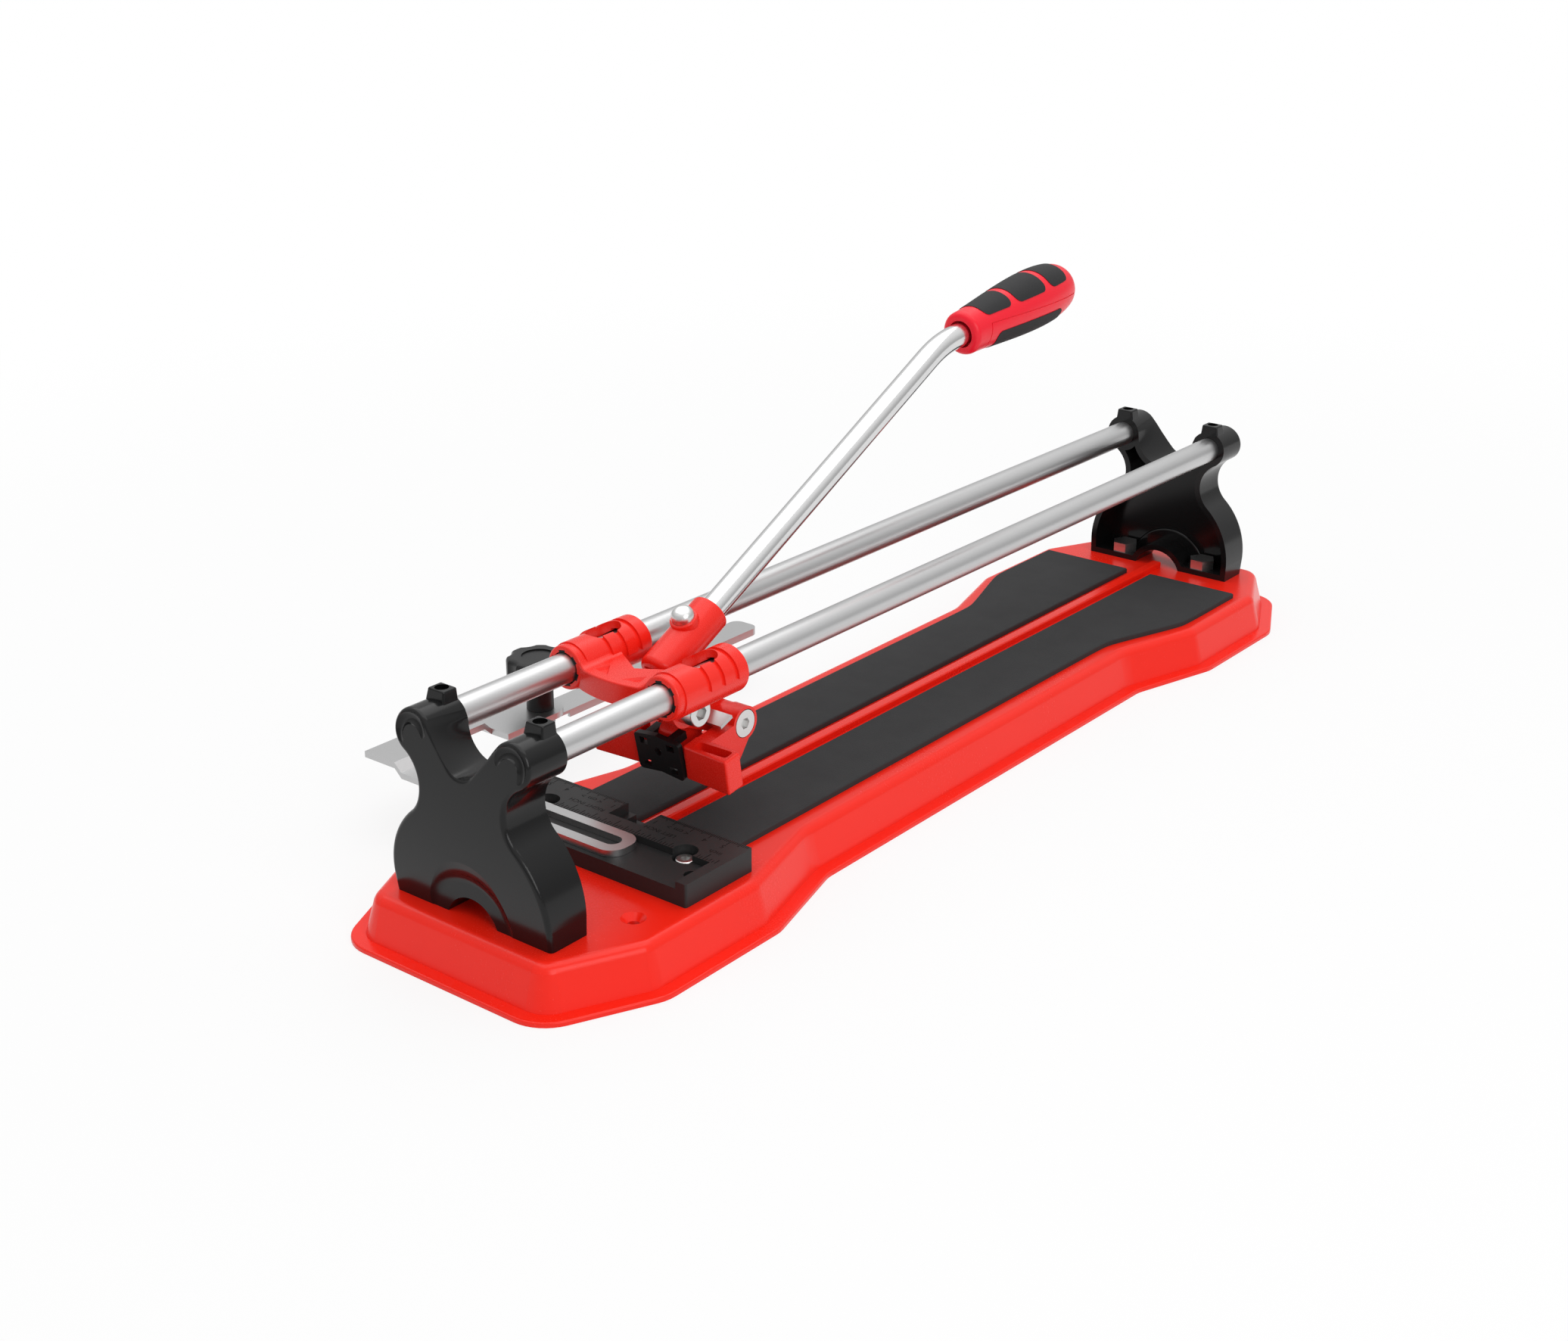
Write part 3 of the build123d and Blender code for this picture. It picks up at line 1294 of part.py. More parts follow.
with BuildPart() as breaker_foot:
    with BuildSketch(across(breaker_arm_inner)):
        add(breaker_section(breaker_arm_sweep))
    with BuildSketch(across(breaker_reach)):
        add(breaker_section(0))
    loft(ruled=True)
    fillet(breaker_foot.edges(), breaker_round)
    top_plane = Plane(
        origin=(0, breaker_front_y, breaker_top_z),
        x_dir=(1, 0, 0),
        z_dir=(0, -sin(lean), cos(lean)),
    )
    with BuildSketch(top_plane):
        pocket_x = breaker_ear_outer - 2.0
        pocket_middle = (pocket_x + breaker_reach - breaker_pocket_wall) / 2
        with Locations((pocket_middle, breaker_arm_thickness / 2 + breaker_pocket_shift)):
            RectangleRounded(
                breaker_reach - breaker_pocket_wall - pocket_x,
                breaker_arm_thickness - 2 * breaker_pocket_wall,
                breaker_pocket_round,
            )
    extrude(amount=-breaker_pocket_depth, mode=Mode.SUBTRACT)
    with BuildSketch(across(breaker_ear_inner)):
        with Locations(breaker_pivot):
            Circle(breaker_ear_radius)
        with BuildLine():
            back_y = breaker_front_y + breaker_arm_thickness
            Polyline(
                (breaker_y - 7.0, breaker_z + 1.6),
                (back_y, breaker_top_z - 0.6),
                (back_y + 1.6, breaker_top_z - breaker_arm_height + 3.2),
                (cross_web_y - cross_web_depth / 2 - 2, cross_web_z - cross_web_height / 2),
                (cross_web_y + cross_web_depth / 2, cross_web_z - cross_web_height / 2),
                (breaker_y + 3.0, breaker_z - 6.8),
                close=True,
            )
        make_face()
    extrude(amount=breaker_ear_outer - breaker_ear_inner)
    with BuildSketch(across(0)):
        with Locations((cross_web_y, cross_web_z)):
            Rectangle(cross_web_depth, cross_web_height)
    extrude(amount=breaker_ear_inner + 1)
    mirror(about=Plane.YZ)
    with BuildSketch(Plane.YZ):
        with Locations(breaker_pivot):
            Circle(breaker_bolt_radius + pivot_fit)
    extrude(amount=breaker_reach, both=True, mode=Mode.SUBTRACT)
    with BuildSketch(across(breaker_ear_outer)):
        with Locations(breaker_pivot):
            Circle(breaker_bolt_head_radius + breaker_head_gap)
    extrude(amount=-breaker_bolt_head_depth, mode=Mode.SUBTRACT)
save(breaker_foot, "breaker_foot")

with BuildPart() as breaker_bolt:
    head_floor = breaker_ear_outer - breaker_bolt_head_depth
    nut_face = -breaker_ear_outer - fork_clearance
    with BuildSketch(across(head_floor + bar_gap)):
        with Locations(breaker_pivot):
            Circle(breaker_bolt_head_radius)
    extrude(amount=breaker_bolt_head_depth - bar_gap)
    with BuildSketch(across(breaker_ear_outer)):
        with Locations(breaker_pivot):
            hexagon(hex_socket_flat * 0.8)
    extrude(amount=-breaker_bolt_head_depth * 0.7, mode=Mode.SUBTRACT)
    with BuildSketch(across(head_floor + bar_gap)):
        with Locations(breaker_pivot):
            Circle(breaker_bolt_radius)
    extrude(amount=nut_face - breaker_nut_length - 1.5 - head_floor - bar_gap)
save(breaker_bolt, "breaker_bolt")

with BuildPart() as breaker_nut:
    with BuildSketch(across(nut_face)):
        with Locations(breaker_pivot):
            hexagon(breaker_nut_flat)
            Circle(breaker_bolt_radius, mode=Mode.SUBTRACT)
    extrude(amount=-breaker_nut_length)
save(breaker_nut, "breaker_nut")

with BuildPart() as stop_plate:
    with BuildSketch(Plane.YZ):
        with Locations(Location((stop_plate_y, stop_plate_z), stop_plate_tilt)):
            Rectangle(stop_plate_depth, stop_plate_thickness)
    extrude(amount=stop_plate_width / 2, both=True)
save(stop_plate, "stop_plate")

# Scoring wheel, its axle and the guard in front of it
with BuildPart() as scoring_wheel:
    with BuildSketch(Plane.XY) as wheel_half:
        with BuildLine():
            Polyline(
                (-wheel_thickness / 2, wheel_axle_radius + wheel_axle_fit),
                (wheel_thickness / 2, wheel_axle_radius + wheel_axle_fit),
                (wheel_thickness / 2, wheel_radius - wheel_bevel),
                (wheel_edge / 2, wheel_radius),
                (-wheel_edge / 2, wheel_radius),
                (-wheel_thickness / 2, wheel_radius - wheel_bevel),
                close=True,
            )
        make_face()
    turned = revolve(axis=Axis.X, mode=Mode.PRIVATE)
    with Locations((0, wheel_y, wheel_z)):
        add(turned)
save(scoring_wheel, "scoring_wheel")

with BuildPart() as wheel_axle:
    with BuildSketch(Plane.YZ):
        with Locations(wheel_axis):
            Circle(wheel_axle_radius)
    extrude(amount=wheel_block_width / 2 + wheel_axle_end, both=True)
save(wheel_axle, "wheel_axle")

guard_lean = radians(guard_tilt)
guard_plane = Plane(
    origin=(0, guard_top_y, guard_top_z),
    x_dir=(1, 0, 0),
    z_dir=(0, -cos(guard_lean), -sin(guard_lean)),
)
with BuildPart() as wheel_guard:
    with BuildSketch(guard_plane) as guard_face:
        half = guard_width / 2
        with BuildLine():
            Polyline(
                (-half, -guard_peak),
                (0, 0),
                (half, -guard_peak),
                (half, -guard_height),
                (0, guard_peak - guard_height),
                (-half, -guard_height),
                close=True,
            )
        make_face()
        corners = guard_face.vertices().group_by(Axis.X)
        fillet(corners[0] + corners[-1], guard_round)
        with GridLocations(2 * guard_slot_x, 0, 2, 1):
            with Locations((0, -guard_slot_top), (0, -guard_slot_low)):
                Rectangle(guard_slot_width, guard_slot_height, mode=Mode.SUBTRACT)
        with Locations((0, -guard_hole_drop)):
            Circle(guard_hole_radius, mode=Mode.SUBTRACT)
    extrude(amount=-guard_thickness)
    with BuildSketch(guard_plane.offset(-guard_thickness)):
        prong_x = wheel_block_width / 2 + guard_prong_width / 2
        with Locations((-prong_x, -guard_prong_drop), (prong_x, -guard_prong_drop)):
            Rectangle(guard_prong_width, guard_prong_height)
    extrude(amount=-guard_prong_length)
save(wheel_guard, "wheel_guard")
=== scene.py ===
"""Looks of the manual tile cutter: materials for every CAD piece, the rubber pads, the fence's scale,
the studio and the camera. Metres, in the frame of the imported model."""
import json
from math import radians

import bpy
import numpy as np
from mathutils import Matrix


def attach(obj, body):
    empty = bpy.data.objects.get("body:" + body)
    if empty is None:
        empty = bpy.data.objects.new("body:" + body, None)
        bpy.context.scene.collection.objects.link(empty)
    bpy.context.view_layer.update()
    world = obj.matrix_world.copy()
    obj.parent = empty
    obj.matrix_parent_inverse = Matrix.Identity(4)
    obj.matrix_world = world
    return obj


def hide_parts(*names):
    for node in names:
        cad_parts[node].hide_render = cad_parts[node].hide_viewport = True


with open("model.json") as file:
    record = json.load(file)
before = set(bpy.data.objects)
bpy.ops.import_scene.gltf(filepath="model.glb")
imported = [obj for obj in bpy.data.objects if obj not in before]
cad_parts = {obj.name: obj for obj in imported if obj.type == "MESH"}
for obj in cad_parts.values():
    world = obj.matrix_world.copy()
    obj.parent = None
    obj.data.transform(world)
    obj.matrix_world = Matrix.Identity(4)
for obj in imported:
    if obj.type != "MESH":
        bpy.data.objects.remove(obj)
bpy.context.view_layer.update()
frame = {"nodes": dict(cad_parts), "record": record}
nodes = frame["nodes"]
MM = 0.001


# Mesh helpers
def mesh_piece(name, points, quads):
    """A mesh object at the origin from an (n, 3) array of points and an (m, 4) array of corners."""
    mesh = bpy.data.meshes.new(name)
    mesh.from_pydata(points.tolist(), [], quads.tolist())
    mesh.validate()
    piece = bpy.data.objects.new(name, mesh)
    bpy.context.scene.collection.objects.link(piece)
    return piece


def bars(name, centres, halves):
    """Many small boxes in one mesh: corner = centre + sign * half size, for the eight signs."""
    signs = np.array([[x, y, z] for z in (-1, 1) for y in (-1, 1) for x in (-1, 1)], float)
    points = centres[:, None, :] + halves[:, None, :] * signs[None, :, :]
    one = np.array([[0, 2, 3, 1], [4, 5, 7, 6], [0, 1, 5, 4], [2, 6, 7, 3], [0, 4, 6, 2], [1, 3, 7, 5]])
    quads = one[None, :, :] + 8 * np.arange(len(centres))[:, None, None]
    return mesh_piece(name, points.reshape(-1, 3), quads.reshape(-1, 4))


# Shader groups
def new_group(name, inputs, outputs):
    """An empty shader node group with named float, colour or vector sockets."""
    group = bpy.data.node_groups.new(name, "ShaderNodeTree")
    for label, kind, value in inputs:
        socket = group.interface.new_socket(name=label, in_out="INPUT", socket_type=kind)
        socket.default_value = value
    for label, kind in outputs:
        group.interface.new_socket(name=label, in_out="OUTPUT", socket_type=kind)
    source = group.nodes.new("NodeGroupInput")
    target = group.nodes.new("NodeGroupOutput")
    return group, source, target


def math_node(tree, operation, a, b=None, c=None):
    """A Math node; each operand is a number or a socket."""
    node = tree.nodes.new("ShaderNodeMath")
    node.operation = operation
    for place, value in enumerate((a, b, c)):
        if value is None:
            continue
        if isinstance(value, (int, float)):
            node.inputs[place].default_value = value
        else:
            tree.links.new(value, node.inputs[place])
    return node.outputs[0]


def noise_node(tree, vector, scale, detail=2.0, roughness=0.5):
    """A Noise texture's value at a scale in cycles per metre, a number or a socket."""
    node = tree.nodes.new("ShaderNodeTexNoise")
    node.inputs["Detail"].default_value = detail
    node.inputs["Roughness"].default_value = roughness
    tree.links.new(vector, node.inputs["Vector"])
    if isinstance(scale, (int, float)):
        node.inputs["Scale"].default_value = scale
    else:
        tree.links.new(scale, node.inputs["Scale"])
    return node.outputs["Fac"]


def mix_colour(tree, factor, a, b):
    """Linear mix of two colours by a socket."""
    node = tree.nodes.new("ShaderNodeMix")
    node.data_type = "RGBA"
    tree.links.new(factor, node.inputs["Factor"])
    for socket, value in ((node.inputs[6], a), (node.inputs[7], b)):
        if hasattr(value, "links"):
            tree.links.new(value, socket)
        else:
            socket.default_value = (*value, 1.0)
    return node.outputs[2]


def coat_group():
    """Sprayed or moulded skin: slow blotches shift the colour, fine grain makes height and roughness."""
    group, source, target = new_group(
        "sprayed_skin",
        [
            ("Colour", "NodeSocketColor", (0.8, 0.05, 0.04, 1)),
            ("Shade", "NodeSocketColor", (0.6, 0.03, 0.02, 1)),
            ("Grain Scale", "NodeSocketFloat", 1500.0),
            ("Blotch Scale", "NodeSocketFloat", 18.0),
            ("Blotch Amount", "NodeSocketFloat", 0.2),
            ("Roughness Low", "NodeSocketFloat", 0.3),
            ("Roughness Span", "NodeSocketFloat", 0.15),
        ],
        [
            ("Colour", "NodeSocketColor"),
            ("Roughness", "NodeSocketFloat"),
            ("Height", "NodeSocketFloat"),
        ],
    )
    place = group.nodes.new("ShaderNodeTexCoord").outputs["Object"]
    grain = noise_node(group, place, source.outputs["Grain Scale"], 3.0, 0.6)
    blotch = noise_node(group, place, source.outputs["Blotch Scale"], 2.0)
    share = math_node(group, "MULTIPLY", blotch, source.outputs["Blotch Amount"])
    grain_share = 0.12
    speck = math_node(group, "MULTIPLY_ADD", grain, grain_share, share)
    colour = mix_colour(group, speck, source.outputs["Colour"], source.outputs["Shade"])
    both = math_node(group, "MULTIPLY_ADD", blotch, 0.5, math_node(group, "MULTIPLY", grain, 0.5))
    rough = math_node(
        group, "MULTIPLY_ADD", both, source.outputs["Roughness Span"], source.outputs["Roughness Low"]
    )
    group.links.new(colour, target.inputs["Colour"])
    group.links.new(rough, target.inputs["Roughness"])
    group.links.new(grain, target.inputs["Height"])
    return group


def drawn_group():
    """Drawn metal: noise stretched along Y makes fine streaks, and a second noise makes faint specks."""
    group, source, target = new_group(
        "drawn_metal",
        [
            ("Colour", "NodeSocketColor", (0.8, 0.8, 0.8, 1)),
            ("Streak Scale", "NodeSocketFloat", 900.0),
            ("Stretch", "NodeSocketFloat", 0.04),
            ("Speck Scale", "NodeSocketFloat", 1600.0),
            ("Roughness Low", "NodeSocketFloat", 0.2),
            ("Roughness Span", "NodeSocketFloat", 0.2),
        ],
        [
            ("Colour", "NodeSocketColor"),
            ("Roughness", "NodeSocketFloat"),
            ("Height", "NodeSocketFloat"),
        ],
    )
    place = group.nodes.new("ShaderNodeTexCoord").outputs["Object"]
    squeeze = group.nodes.new("ShaderNodeCombineXYZ")
    squeeze.inputs["X"].default_value = 1.0
    squeeze.inputs["Z"].default_value = 1.0
    group.links.new(source.outputs["Stretch"], squeeze.inputs["Y"])
    along = group.nodes.new("ShaderNodeVectorMath")
    along.operation = "MULTIPLY"
    group.links.new(place, along.inputs[0])
    group.links.new(squeeze.outputs["Vector"], along.inputs[1])
    streak = noise_node(group, along.outputs["Vector"], source.outputs["Streak Scale"], 3.0, 0.6)
    speck = noise_node(group, place, source.outputs["Speck Scale"], 2.0, 0.7)
    both = math_node(group, "MULTIPLY_ADD", speck, 0.5, math_node(group, "MULTIPLY", streak, 0.5))
    rough = math_node(
        group, "MULTIPLY_ADD", both, source.outputs["Roughness Span"], source.outputs["Roughness Low"]
    )
    shade_share = 0.25
    shade_grey = (0.3, 0.3, 0.31)
    shade = math_node(group, "MULTIPLY", both, shade_share)
    colour = mix_colour(group, shade, source.outputs["Colour"], shade_grey)
    group.links.new(colour, target.inputs["Colour"])
    group.links.new(rough, target.inputs["Roughness"])
    group.links.new(both, target.inputs["Height"])
    return group


sprayed_skin = coat_group()
drawn_metal = drawn_group()


def finish_material(name, group, values, bump, metallic=0.0, **sockets):
    """A Principled material whose colour, roughness and relief come from a shader group."""
    material = bpy.data.materials.new(name)
    material.use_nodes = True
    tree = material.node_tree
    shader = tree.nodes["Principled BSDF"]
    skin = tree.nodes.new("ShaderNodeGroup")
    skin.node_tree = group
    for label, value in values.items():
        skin.inputs[label].default_value = (*value, 1.0) if isinstance(value, tuple) else value
    tree.links.new(skin.outputs["Colour"], shader.inputs["Base Color"])
    tree.links.new(skin.outputs["Roughness"], shader.inputs["Roughness"])
    relief = tree.nodes.new("ShaderNodeBump")
    relief.inputs["Strength"].default_value = 1.0
    relief.inputs["Distance"].default_value = bump
    tree.links.new(skin.outputs["Height"], relief.inputs["Height"])
    tree.links.new(relief.outputs["Normal"], shader.inputs["Normal"])
    shader.inputs["Metallic"].default_value = metallic
    for label, value in sockets.items():
        shader.inputs[label.replace("_", " ")].default_value = value
    return material


def skin_values(colour, shade, grain, blotch, amount, low, span):
    """Input values of the sprayed skin."""
    return {
        "Colour": colour,
        "Shade": shade,
        "Grain Scale": grain,
        "Blotch Scale": blotch,
        "Blotch Amount": amount,
        "Roughness Low": low,
        "Roughness Span": span,
    }


def metal_values(colour, streak, stretch, speck, low, span):
    """Input values of the drawn metal."""
    return {
        "Colour": colour,
        "Streak Scale": streak,
        "Stretch": stretch,
        "Speck Scale": speck,
        "Roughness Low": low,
        "Roughness Span": span,
    }


finishes = {
    "red_base": finish_material(
        "red_gloss_coat",
        sprayed_skin,
        skin_values((0.93, 0.018, 0.006), (0.78, 0.010, 0.004), 900.0, 14.0, 0.18, 0.20, 0.12),
        0.00001,
        Specular_IOR_Level=0.3,
    ),
    "red_casting": finish_material(
        "red_casting_coat",
        sprayed_skin,
        skin_values((0.88, 0.020, 0.010), (0.70, 0.012, 0.006), 2200.0, 30.0, 0.22, 0.20, 0.14),
        0.00003,
        Specular_IOR_Level=0.35,
    ),
    "black_casting": finish_material(
        "black_casting_coat",
        sprayed_skin,
        skin_values((0.0055, 0.0055, 0.0057), (0.003, 0.003, 0.0032), 1600.0, 25.0, 0.3, 0.13, 0.10),
        0.00001,
        Specular_IOR_Level=0.28,
    ),
    "fence_black": finish_material(
        "fence_moulding",
        sprayed_skin,
        skin_values((0.026, 0.026, 0.0262), (0.018, 0.018, 0.0182), 1800.0, 40.0, 0.3, 0.34, 0.14),
        0.00003,
        Specular_IOR_Level=0.2,
    ),
    "pad_rubber": finish_material(
        "pad_rubber",
        sprayed_skin,
        skin_values((0.042, 0.042, 0.043), (0.025, 0.025, 0.026), 1300.0, 60.0, 0.35, 0.70, 0.15),
        0.00010,
        Specular_IOR_Level=0.15,
    ),
    "knob_plastic": finish_material(
        "knob_moulding",
        sprayed_skin,
        skin_values((0.009, 0.009, 0.0095), (0.005, 0.005, 0.0055), 1500.0, 60.0, 0.3, 0.30, 0.16),
        0.00004,
        Specular_IOR_Level=0.3,
    ),
    "bush_plastic": finish_material(
        "bush_moulding",
        sprayed_skin,
        skin_values((0.008, 0.008, 0.008), (0.005, 0.005, 0.005), 1500.0, 60.0, 0.3, 0.45, 0.2),
        0.00004,
        Specular_IOR_Level=0.2,
    ),
    "guard_plastic": finish_material(
        "guard_moulding",
        sprayed_skin,
        skin_values((0.009, 0.009, 0.0095), (0.005, 0.005, 0.0055), 1800.0, 60.0, 0.3, 0.30, 0.18),
        0.00003,
        Specular_IOR_Level=0.25,
    ),
    "handle_red": finish_material(
        "handle_moulding",
        sprayed_skin,
        skin_values((0.88, 0.006, 0.025), (0.71, 0.004, 0.017), 1500.0, 40.0, 0.2, 0.26, 0.14),
        0.00003,
        Specular_IOR_Level=0.35,
    ),
    "grip_rubber": finish_material(
        "grip_rubber",
        sprayed_skin,
        skin_values((0.019, 0.019, 0.020), (0.011, 0.011, 0.012), 1700.0, 60.0, 0.3, 0.55, 0.15),
        0.00008,
        Specular_IOR_Level=0.25,
    ),
    "rail_chrome": finish_material(
        "rail_satin_chrome",
        drawn_metal,
        metal_values((0.63, 0.63, 0.63), 900.0, 0.05, 1500.0, 0.24, 0.22),
        0.00003,
        metallic=1.0,
    ),
    "rod_chrome": finish_material(
        "rod_polished_chrome",
        drawn_metal,
        metal_values((0.76, 0.76, 0.76), 700.0, 0.06, 900.0, 0.10, 0.12),
        0.00001,
        metallic=1.0,
    ),
    "zinc_steel": finish_material(
        "bright_zinc",
        drawn_metal,
        metal_values((0.74, 0.74, 0.73), 1500.0, 1.0, 2500.0, 0.20, 0.20),
        0.00002,
        metallic=1.0,
    ),
    "dark_steel": finish_material(
        "blackened_steel",
        drawn_metal,
        metal_values((0.05, 0.05, 0.05), 1500.0, 1.0, 2500.0, 0.30, 0.2),
        0.00002,
        metallic=1.0,
    ),
    "stop_steel": finish_material(
        "stop_zinc_sheet",
        drawn_metal,
        metal_values((0.54, 0.54, 0.54), 1100.0, 0.5, 2000.0, 0.24, 0.22),
        0.00003,
        metallic=1.0,
    ),
    "wheel_steel": finish_material(
        "wheel_carbide",
        drawn_metal,
        metal_values((0.50, 0.50, 0.52), 1500.0, 1.0, 3000.0, 0.18, 0.15),
        0.00002,
        metallic=1.0,
    ),
}

for entry in frame["record"]["subparts"]:
    node = nodes[entry["node"]]
    node.data.materials.clear()
    node.data.materials.append(finishes[entry["material_slot"]])


# Pads, in place of the plain solids
pad_narrow = 43.4 * MM
pad_wide = 60.9 * MM
pad_step_start = 137.0 * MM
pad_step_end = 188.0 * MM
pad_bend_soft = 5.0 * MM
pad_edge_round = 0.8 * MM
pad_edge_rows = 6
pad_rows_across = 22
pad_rows_along = 150
pad_end_margin = 3.0 * MM
pad_side_margin = 0.04


def edge_steps(radius, count):
    """Distances in from an edge that follow a quarter round: r * (1 - cos t)."""
    turn = np.linspace(0.0, np.pi / 2, count)
    return radius * (1 - np.cos(turn))


def rubber_pad(name, node_name, side):
    """Pad: X = side * (inner + a + b * width(y)), Y = y, and Z = top - drop of the nearer edges.

    drop(d) = r - sqrt(r^2 - (r - d)^2) within r of an edge, and width(y) = w0 + slope * (ramp(y - y0)
    - ramp(y - y1)) with ramp(t) = (t + sqrt(t^2 + k^2)) / 2, so the waist turns in smoothly.
    """
    corners = np.array([tuple(corner) for corner in nodes[node_name].bound_box])
    low = corners.min(axis=0)
    high = corners.max(axis=0)
    inner = np.abs([low[0], high[0]]).min()
    steps = edge_steps(pad_edge_round, pad_edge_rows)
    shift = np.concatenate([steps, np.zeros(pad_rows_across), -steps[::-1]])
    between = np.linspace(pad_side_margin, 1.0 - pad_side_margin, pad_rows_across)
    share = np.concatenate([np.zeros(pad_edge_rows), between, np.ones(pad_edge_rows)])
    along = np.linspace(low[1] + pad_end_margin, high[1] - pad_end_margin, pad_rows_along)
    y = np.concatenate([low[1] + steps, along, high[1] - steps[::-1]])

    def ramp(t):
        return (t + np.sqrt(t**2 + pad_bend_soft**2)) / 2

    slope = (pad_wide - pad_narrow) / (pad_step_end - pad_step_start)
    width = pad_narrow - inner + slope * (ramp(y - pad_step_start) - ramp(y - pad_step_end))
    across = shift[:, None] + share[:, None] * width[None, :]
    from_side = np.minimum(across, width[None, :] - across)
    from_end = np.minimum(y - low[1], high[1] - y)[None, :]

    def drop(distance):
        near = pad_edge_round - np.clip(distance, 0.0, pad_edge_round)
        return pad_edge_round - np.sqrt(pad_edge_round**2 - near**2)

    fall = np.minimum(drop(from_side) + drop(from_end), pad_edge_round)
    x = side * (inner + across)
    top = np.stack([x, np.broadcast_to(y, x.shape), high[2] - fall], axis=-1)
    base = top.copy()
    base[..., 2] = low[2]
    rows, columns = x.shape
    index = np.arange(rows * columns).reshape(rows, columns)
    face = np.stack([index[:-1, :-1], index[1:, :-1], index[1:, 1:], index[:-1, 1:]], axis=-1)
    face = face.reshape(-1, 4)
    rim = np.concatenate([index[0, :-1], index[:-1, -1], index[-1, :0:-1], index[:0:-1, 0]])
    after = np.roll(rim, -1)
    wall = np.stack([rim, after, after + rows * columns, rim + rows * columns], axis=-1)
    if side < 0:
        face = face[:, ::-1]
        wall = wall[:, ::-1]
    quads = np.concatenate([face, face[:, ::-1] + rows * columns, wall])
    piece = mesh_piece(name, np.concatenate([top.reshape(-1, 3), base.reshape(-1, 3)]), quads)
    piece.data.materials.append(finishes["pad_rubber"])
    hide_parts(node_name)
    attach(piece, "frame")
    return piece


rubber_pad("rubber_pad_right", "pad_right", 1)
rubber_pad("rubber_pad_left", "pad_left", -1)


# Fence scale
scale_ink = finish_material(
    "scale_ink",
    sprayed_skin,
    skin_values((0.003, 0.003, 0.003), (0.002, 0.002, 0.002), 2500.0, 60.0, 0.3, 0.5, 0.2),
    0.00002,
    Specular_IOR_Level=0.1,
)
scale_top = 31.6 * MM
scale_rear = -182.1 * MM
scale_front = -203.3 * MM
ink_height = 0.03 * MM
tick_inset = 0.25 * MM
fine_tick_half = 0.18 * MM
inch_tick_half = 0.20 * MM
screw_clear = 6.4 * MM
screw_x = 40.0 * MM


def tick_rows():
    """Centre and half size of every tick: millimetres along the rear edge, sixteenths along the front."""
    mm = np.arange(-59, 60)
    mm = mm[np.abs(mm) > 9]
    length = np.where(mm % 10 == 0, 4.4, np.where(mm % 5 == 0, 3.0, 1.9)) * MM
    rear_y = scale_rear - tick_inset - length / 2
    rear = np.stack([mm * MM, rear_y, np.full(len(mm), scale_top)], axis=1)
    fine = np.ones(len(mm))
    rear_half = np.stack([fine_tick_half * fine, length / 2, ink_height * fine], axis=1)
    step = np.arange(-36, 37)
    x = step * 25.4 / 16 * MM
    clear = np.abs(np.abs(x) - screw_x) > screw_clear
    step = step[clear]
    x = x[clear]
    reach = np.where(step % 16 == 0, 5.6, np.where(step % 8 == 0, 4.6, np.where(step % 4 == 0, 3.6, 2.6)))
    reach = np.where(step % 2 == 0, reach, 1.8) * MM
    front_y = scale_front + tick_inset + reach / 2
    front = np.stack([x, front_y, np.full(len(x), scale_top)], axis=1)
    coarse = np.ones(len(x))
    front_half = np.stack([inch_tick_half * coarse, reach / 2, ink_height * coarse], axis=1)
    return np.concatenate([rear, front]), np.concatenate([rear_half, front_half])


def figure_mesh(text, size):
    """Points and faces of a flat word, centred on the origin, turned from a text curve."""
    curve = bpy.data.curves.new("word", "FONT")
    curve.body = text
    curve.size = size
    curve.align_x = "CENTER"
    curve.align_y = "CENTER"
    curve.resolution_u = 3
    holder = bpy.data.objects.new("word", curve)
    bpy.context.scene.collection.objects.link(holder)
    graph = bpy.context.evaluated_depsgraph_get()
    flat = bpy.data.meshes.new_from_object(holder.evaluated_get(graph))
    points = np.empty(3 * len(flat.vertices))
    flat.vertices.foreach_get("co", points)
    faces = [list(polygon.vertices) for polygon in flat.polygons]
    bpy.data.objects.remove(holder)
    bpy.data.curves.remove(curve)
    bpy.data.meshes.remove(flat)
    return points.reshape(-1, 3), faces


def scale_figures(words):
    """All words of the scale as one flat mesh, each turned half round to read from the tile's side."""
    points = []
    faces = []
    count = 0
    for text, size, x, y in words:
        flat, corners = figure_mesh(text, size * MM)
        turned = flat * np.array([-1.0, -1.0, 1.0])
        points.append(turned + np.array([x * MM, y * MM, scale_top + ink_height]))
        faces.extend([[corner + count for corner in face] for face in corners])
        count += len(flat)
    mesh = bpy.data.meshes.new("scale_figures")
    mesh.from_pydata(np.concatenate(points).tolist(), [], faces)
    piece = bpy.data.objects.new("scale_figures", mesh)
    bpy.context.scene.collection.objects.link(piece)
    return piece


number_size = 4.2
number_y = -188.8
inch_size = 3.6
inch_y = -194.6
scale_words = [(str(n), number_size, side * 10.0 * n, number_y) for n in (4, 5) for side in (-1, 1)]
scale_words += [("1", number_size, side * 12.4, number_y) for side in (-1, 1)]
scale_words += [("< cm >", number_size, side * 25.0, number_y) for side in (-1, 1)]
scale_words += [("RIGHT INCH", inch_size, -22.5, inch_y), ("LEFT INCH", inch_size, 20.0, inch_y)]
scale_words += [("inch", 4.0, 51.0, -195.0)]
ticks = bars("scale_ticks", *tick_rows())
figures = scale_figures(scale_words)
for mark in (ticks, figures):
    mark.data.materials.append(scale_ink)
    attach(mark, "frame")


